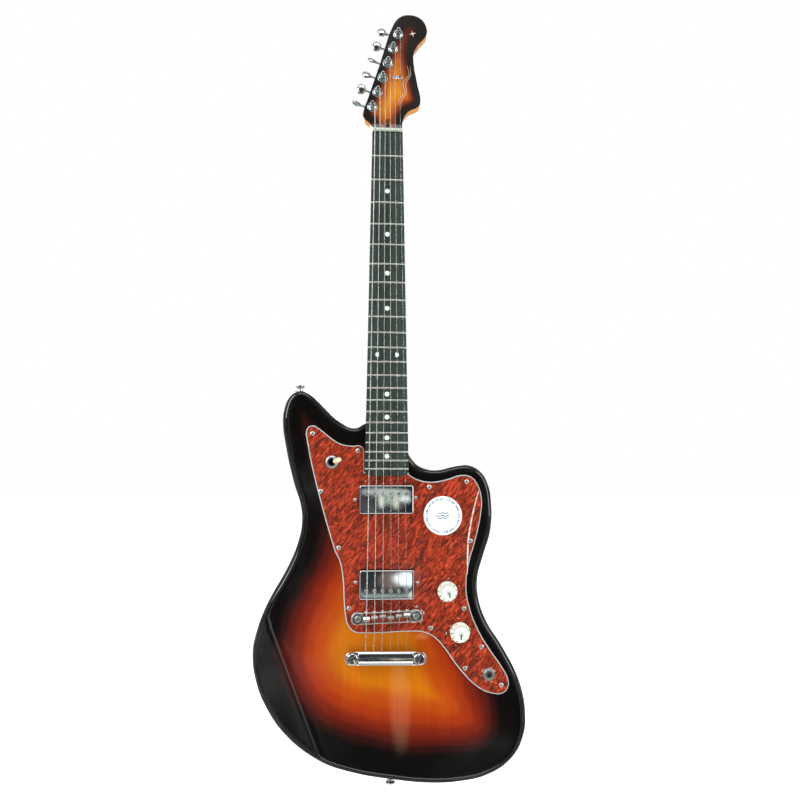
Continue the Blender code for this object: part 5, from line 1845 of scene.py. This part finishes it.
def build_tuners():
    """Six machine heads: cases, nuts and washers, posts that turn and buttons that turn them."""
    shapes = {"housing": tuner_housing(), "nut": tuner_nut(), "post": tuner_post(),
              "button": tuner_button()}
    kinds = (("housing", "root", "tuner_housing_{}"), ("nut", "root", None),
             ("post", "post_{}", "tuner_post_{}"), ("button", "button_{}", "tuner_button_{}"))
    for number in STRINGS:
        here = tuner_place(number)
        for kind, body, node in kinds:
            matrix = here
            if kind == "button":
                matrix = here @ shifted(0.0, -WORM_OFFSET, -WORM_DEPTH) @ spin(
                    BUTTON_TURNS[number - 1], "X")
            if kind == "nut":
                matrix = here @ spin(13.0 * number)
            piece(f"machine_head_{number}_{kind}", shapes[kind].copy(),
                  finish("machine_chrome"), matrix, body.format(number),
                  (node.format(number),) if node else (), 30.0)
    for shape in shapes.values():
        shape.free()
    build_case_screws()
    build_string_tree()


def build_case_screws():
    """Small wood screws that hold the gear cases to the back of the headstock."""
    head = screw_head(1.6, 0.8)
    moves = []
    for number in STRINGS:
        here = tuner_place(number)
        for x, y in ((-5.4, 5.4), (7.0, 5.4)):
            spot = in_frame(here, x, y, -HEAD_THICKNESS - 11.9)
            moves.append(Matrix.Translation(spot) @ Matrix.Rotation(-math.pi / 2, 4, "X"))
    piece("gear_case_screws", copies(head, moves), finish("chrome"))


def build_string_tree():
    """A winged retainer over the two treble strings, with its screw and spacer."""
    x, z = middle("string_tree")
    stem = lathe(rounded([(0.0, 0.8), (2.2, 0.8), (2.2, 6.4), (0.0, 6.4)], 0.2), 28)
    wing = []
    for i in range(-8, 9):
        share = i / 8
        wing.append((6.75 * share, 8.1 - 0.9 * abs(share) ** 3))
    under = [(a, b - 0.9) for a, b in reversed(wing)]
    sheet = moved(slab(wing + under, [(0.3, -2.1), (0.0, -1.8), (0.0, 1.8), (0.3, 2.1)]),
                  Matrix(((1, 0, 0, 0), (0, 0, 1, 0), (0, 1, 0, 0), (0, 0, 0, 1))))
    head = moved(screw_head(2.1, 0.8), move(0.0, 0.0, 8.0))
    piece("string_tree_winged", moved(merge(stem, sheet, head), spin(-4.0)), finish("chrome"),
          place(point(x, z)), stands_for=("string_tree",))


def build_straps_and_plate():
    """Strap buttons with felt washers, and the neck plate with its four bolts."""
    for node, up in (("strap_button_horn", 1), ("strap_button_tail", -1)):
        x, z = middle(node)
        low, high = span(node)
        base = low.z + 19.0 if up > 0 else high.z - 19.0
        turn = Matrix.Rotation(0.0 if up > 0 else math.pi, 4, "X")
        profile = rounded([(0.0, 10.2), (5.5, 10.2), (6.5, 9.2), (6.5, 7.8), (4.6, 6.4),
                           (4.1, 3.2), (5.6, 1.7), (5.6, 1.2), (1.9, 1.2)], 0.6, 4)
        profile += [(1.9, 0.4)] + [(1.9 if i % 2 else 1.5, -0.4 - i * 0.8) for i in range(22)]
        profile += [(0.0, -19.0)]
        here = place(point(x, base, -22.0), turn)
        shape = lathe(profile, 48)
        cross = [moved(block((4.6, 0.9, 1.6)), move(0.0, 0.0, 10.4)),
                 moved(block((0.9, 4.6, 1.6)), move(0.0, 0.0, 10.4))]
        piece(f"{node}_turned", combine(shape, cross), finish("chrome"), here,
              stands_for=(node,))
        washer = lathe(rounded([(2.4, 0.25), (7.0, 0.25), (7.3, 0.7), (7.0, 1.15), (2.4, 1.15),
                                (2.4, 0.25)], 0.2), 40)
        piece(f"{node}_felt", washer, finish("felt"), here)
    low, high = span("neck_plate")
    x, z = middle("neck_plate")
    outline = rectangle(x, z, high.x - low.x, high.z - low.z, 3.2, 8)
    corners = [(x + sx * 19.0, z + sz * 25.4) for sx in (-1, 1) for sz in (-1, 1)]
    plate = slab(outline, [(0.7, back("neck_plate")), (0.2, back("neck_plate") + 0.25),
                           (0.0, back("neck_plate") + 0.7), (0.0, front("neck_plate"))],
                 [circle(*corner, 2.7, 28) for corner in corners])
    piece("neck_plate_bevelled", upright(plate), finish("chrome"),
          stands_for=("neck_plate",))
    bolt = screw_head(4.2, 1.9)
    moves = [move(*corner, back("neck_plate") + 1.9) @ spin(180, "X") @ spin(30.0 * i)
             for i, corner in enumerate(corners)]
    piece("neck_bolts", upright(copies(bolt, moves)), finish("nickel"))
    dress("truss_rod", finish("nickel"))
    dress("truss_rod_nut", finish("black_steel"))


# ---------------------------------------------------------------------------------------------
# Stage
# ---------------------------------------------------------------------------------------------

FLOOR_HEIGHT = -1300.0
CAMERA_SPOT = (-48.95, -955.87, -487.94)
CAMERA_HEADING = (0.06937, 0.99054, 0.11837)
CAMERA_LENS = 32.4
LAMPS = (
    ("key_left", (-1500.0, -1100.0, 500.0), (700.0, 1500.0), 26.0, (0.93, 0.97, 1.0)),
    ("fill_right", (1700.0, -900.0, 100.0), (600.0, 1600.0), 15.0, (1.0, 0.98, 0.94)),
    ("top", (100.0, -900.0, 1500.0), (1600.0, 700.0), 12.0, (1.0, 1.0, 1.0)),
    ("low_front", (0.0, -1500.0, -2000.0), (1500.0, 500.0), 5.5, (1.0, 1.0, 1.0)),
    ("rear", (-300.0, 1900.0, 600.0), (1500.0, 1500.0), 30.0, (1.0, 1.0, 1.0)),
)
AIM = (0.0, 0.0, -450.0)


def build_stage():
    """A plain pale floor, soft lamps, a bright plain surround and the camera."""
    scene = bpy.context.scene
    scene.view_settings.view_transform = "Standard"
    floor = bmesh.new()
    bmesh.ops.create_grid(floor, x_segments=4, y_segments=4, size=1.0)
    bmesh.ops.scale(floor, vec=(60000.0, 60000.0, 1.0), verts=floor.verts)
    ground = mesh_object("floor", moved(floor, move(0.0, 0.0, FLOOR_HEIGHT)))
    pale = coat("pale_floor", (0.9, 0.9, 0.9, 1.0), roughness=0.8,
                emission_color=(1.0, 1.0, 1.0, 1.0), emission_strength=0.75)
    ground.data.materials.append(pale)
    ground.visible_glossy = False
    for name, spot, (width, height), power, hue in LAMPS:
        lamp = bpy.data.lights.new(name, "AREA")
        lamp.shape = "RECTANGLE"
        lamp.size, lamp.size_y = width * MM, height * MM
        lamp.energy = power
        lamp.color = hue
        thing = bpy.data.objects.new(name, lamp)
        heading = Vector(AIM) - Vector(spot)
        thing.matrix_world = (Matrix.Translation(Vector(spot) * MM)
                              @ heading.to_track_quat("-Z", "Y").to_matrix().to_4x4())
        scene.collection.objects.link(thing)
    build_surround(scene)
    camera = bpy.data.cameras.new("camera")
    camera.lens = CAMERA_LENS
    camera.clip_start, camera.clip_end = 0.01, 200.0
    thing = bpy.data.objects.new("camera", camera)
    turn = Vector(CAMERA_HEADING).to_track_quat("-Z", "Y").to_matrix().to_4x4()
    thing.matrix_world = Matrix.Translation(Vector(CAMERA_SPOT) * MM) @ turn
    scene.collection.objects.link(thing)
    scene.camera = thing


WINDOWS = (
    ((0.067, -0.277), (0.0125, 0.048), 1.5, (1.0, 0.82, 0.45)),
    ((0.0975, -0.1967), (0.0085, 0.0035), 3.0, (1.0, 0.8, 0.35)),
    ((0.080, -0.1215), (0.0185, 0.0115), 1.5, (0.88, 1.0, 0.97)),
    ((0.0865, -0.147), (0.006, 0.006), 1.0, (1.0, 0.93, 0.7)),
    ((0.054, -0.124), (0.013, 0.014), 0.2, (1.0, 0.7, 0.55)),
    ((0.045, -0.149), (0.055, 0.004), 0.45, (0.85, 1.0, 0.98)),
    ((0.050, -0.0075), (0.036, 0.0055), 0.6, (0.92, 1.0, 0.94)),
    ((0.0445, -0.0222), (0.0034, 0.011), 1.2, (0.95, 1.0, 0.86)),
    ((0.0548, -0.0195), (0.0028, 0.008), 0.8, (0.72, 1.0, 0.8)),
    ((0.0645, -0.0236), (0.0034, 0.0105), 1.2, (0.95, 1.0, 0.82)),
    ((0.0769, -0.018), (0.0075, 0.005), 1.2, (0.9, 1.0, 0.95)),
    ((-0.30, -0.10), (0.05, 0.30), 1.4, (0.86, 0.94, 1.0)),
    ((0.42, -0.25), (0.06, 0.25), 0.9, (0.9, 0.95, 1.0)),
)


def glow(world, heading, spot, reach, hue):
    """A soft-edged bright window, by its heading from the guitar and its half width and height."""
    offset = add(world, "VectorMath", {"operation": "SUBTRACT"}, i0=heading,
                 i1=(spot[0], -1.0, spot[1])).outputs[0]
    scaled = add(world, "VectorMath", {"operation": "MULTIPLY"}, i0=offset,
                 i1=(1.0 / reach[0], 0.0, 1.0 / reach[1])).outputs[0]
    far = add(world, "VectorMath", {"operation": "LENGTH"}, i0=scaled).outputs["Value"]
    shown = add(world, "MapRange", Value=far, i1=1.25, i2=0.8, i3=0.0, i4=1.0).outputs[0]
    return blend(world, shown, (0.0, 0.0, 0.0, 1.0), hue)


def build_surround(scene):
    """White behind the guitar; for light and reflections, a dim room ahead with its windows."""
    world = bpy.data.worlds.new("surround")
    scene.world = world
    world.use_nodes = True
    tree = world.node_tree
    tree.nodes.clear()
    heading = add(world, "TexCoord").outputs["Generated"]
    room = add(world, "TexNoise", Vector=heading, Scale=5.5, Detail=4.0, Distortion=0.8)
    ahead = ramp(world, room.outputs["Fac"],
                 [(0.40, (0.012, 0.015, 0.024, 1.0)), (0.52, (0.05, 0.05, 0.055, 1.0)),
                  (0.62, (0.16, 0.17, 0.17, 1.0)), (0.72, (0.5, 0.53, 0.55, 1.0))])
    for spot, reach, strength, hue in WINDOWS:
        light = tuple(strength * part for part in hue) + (1.0,)
        ahead = blend(world, 1.0, ahead, glow(world, heading, spot, reach, light), "ADD")
    split = add(world, "SeparateXYZ", Vector=heading)
    forward = add(world, "MapRange", Value=split.outputs["Y"], i1=-0.62, i2=-0.9, i3=0.0, i4=1.0)
    walls = ramp(world, room.outputs["Fac"],
                 [(0.38, (0.10, 0.11, 0.12, 1.0)), (0.47, (0.38, 0.41, 0.40, 1.0)),
                  (0.56, (0.85, 0.92, 0.90, 1.0)), (0.64, (1.05, 1.1, 1.08, 1.0))])
    around = blend(world, forward.outputs[0], walls, ahead)
    rays = add(world, "LightPath")
    seen = blend(world, rays.outputs["Is Camera Ray"], around, (1.0, 1.0, 1.0, 1.0))
    light = add(world, "Background", Color=seen, Strength=1.0)
    out = add(world, "OutputWorld", Surface=light.outputs[0])
    out.is_active_output = True


# ---------------------------------------------------------------------------------------------
# Operators, panel and start
# ---------------------------------------------------------------------------------------------


class GUITAR_OT_stage(Operator):
    """Adds the floor, lamps, surround and camera"""

    bl_idname = "guitar.stage"
    bl_label = "Stage"

    def execute(self, context):
        build_stage()
        return {"FINISHED"}


class GUITAR_OT_body(Operator):
    """Adds the contoured solid body with its burst lacquer"""

    bl_idname = "guitar.body"
    bl_label = "Body"

    def execute(self, context):
        build_body()
        return {"FINISHED"}


class GUITAR_OT_neck(Operator):
    """Adds the maple neck and its lacquered headstock"""

    bl_idname = "guitar.neck"
    bl_label = "Neck"

    def execute(self, context):
        build_neck()
        return {"FINISHED"}


class GUITAR_OT_fretboard(Operator):
    """Adds the fretboard with its frets, dots and nut"""

    bl_idname = "guitar.fretboard"
    bl_label = "Fretboard"

    def execute(self, context):
        build_fretboard()
        return {"FINISHED"}


class GUITAR_OT_pickguard(Operator):
    """Adds the tortoiseshell pickguard with its screws, film and sticker"""

    bl_idname = "guitar.pickguard"
    bl_label = "Pickguard"

    def execute(self, context):
        build_pickguard()
        return {"FINISHED"}


class GUITAR_OT_pickups(Operator):
    """Adds the two covered pickups with their poles"""

    bl_idname = "guitar.pickups"
    bl_label = "Pickups"

    def execute(self, context):
        build_pickups()
        return {"FINISHED"}


class GUITAR_OT_controls(Operator):
    """Adds the knobs, the pickup switch and the output socket"""

    bl_idname = "guitar.controls"
    bl_label = "Controls"

    def execute(self, context):
        build_controls()
        return {"FINISHED"}


class GUITAR_OT_bridge(Operator):
    """Adds the bridge with its saddles and posts"""

    bl_idname = "guitar.bridge"
    bl_label = "Bridge"

    def execute(self, context):
        build_bridge()
        return {"FINISHED"}


class GUITAR_OT_tailpiece(Operator):
    """Adds the tailpiece and its two studs"""

    bl_idname = "guitar.tailpiece"
    bl_label = "Tailpiece"

    def execute(self, context):
        build_tailpiece()
        return {"FINISHED"}


class GUITAR_OT_strings(Operator):
    """Adds the six strings"""

    bl_idname = "guitar.strings"
    bl_label = "Strings"

    def execute(self, context):
        build_strings()
        return {"FINISHED"}


class GUITAR_OT_machine_heads(Operator):
    """Adds the six machine heads and the string tree"""

    bl_idname = "guitar.machine_heads"
    bl_label = "Machine Heads"

    def execute(self, context):
        build_tuners()
        return {"FINISHED"}


class GUITAR_OT_straps_and_plate(Operator):
    """Adds the strap buttons, neck plate and truss rod finish"""

    bl_idname = "guitar.straps_and_plate"
    bl_label = "Strap Buttons and Neck Plate"

    def execute(self, context):
        build_straps_and_plate()
        return {"FINISHED"}


STEPS = (GUITAR_OT_stage, GUITAR_OT_body, GUITAR_OT_neck, GUITAR_OT_fretboard,
         GUITAR_OT_pickguard, GUITAR_OT_pickups, GUITAR_OT_controls, GUITAR_OT_bridge,
         GUITAR_OT_tailpiece, GUITAR_OT_strings, GUITAR_OT_machine_heads,
         GUITAR_OT_straps_and_plate)


class GUITAR_PT_panel(Panel):
    """Lists the guitar's sizes, colours and steps in the sidebar"""

    bl_label = "Electric Guitar"
    bl_idname = "GUITAR_PT_panel"
    bl_space_type = "VIEW_3D"
    bl_region_type = "UI"
    bl_category = "Guitar"

    def draw(self, context):
        for group in (context.scene.guitar_sizes, context.scene.guitar_colours):
            column = self.layout.column(align=True)
            for name in group.__annotations__:
                column.prop(group, name)
        for step in STEPS:
            self.layout.operator(step.bl_idname)


CLASSES = (GuitarSizes, GuitarColours, *STEPS, GUITAR_PT_panel)


def register():
    for item in CLASSES:
        bpy.utils.register_class(item)
    bpy.types.Scene.guitar_sizes = PointerProperty(type=GuitarSizes)
    bpy.types.Scene.guitar_colours = PointerProperty(type=GuitarColours)


def unregister():
    del bpy.types.Scene.guitar_colours
    del bpy.types.Scene.guitar_sizes
    for item in reversed(CLASSES):
        bpy.utils.unregister_class(item)


def main():
    register()
    for step in STEPS:
        group, name = step.bl_idname.split(".")
        getattr(getattr(bpy.ops, group), name)()


if __name__ == "__main__":
    main()
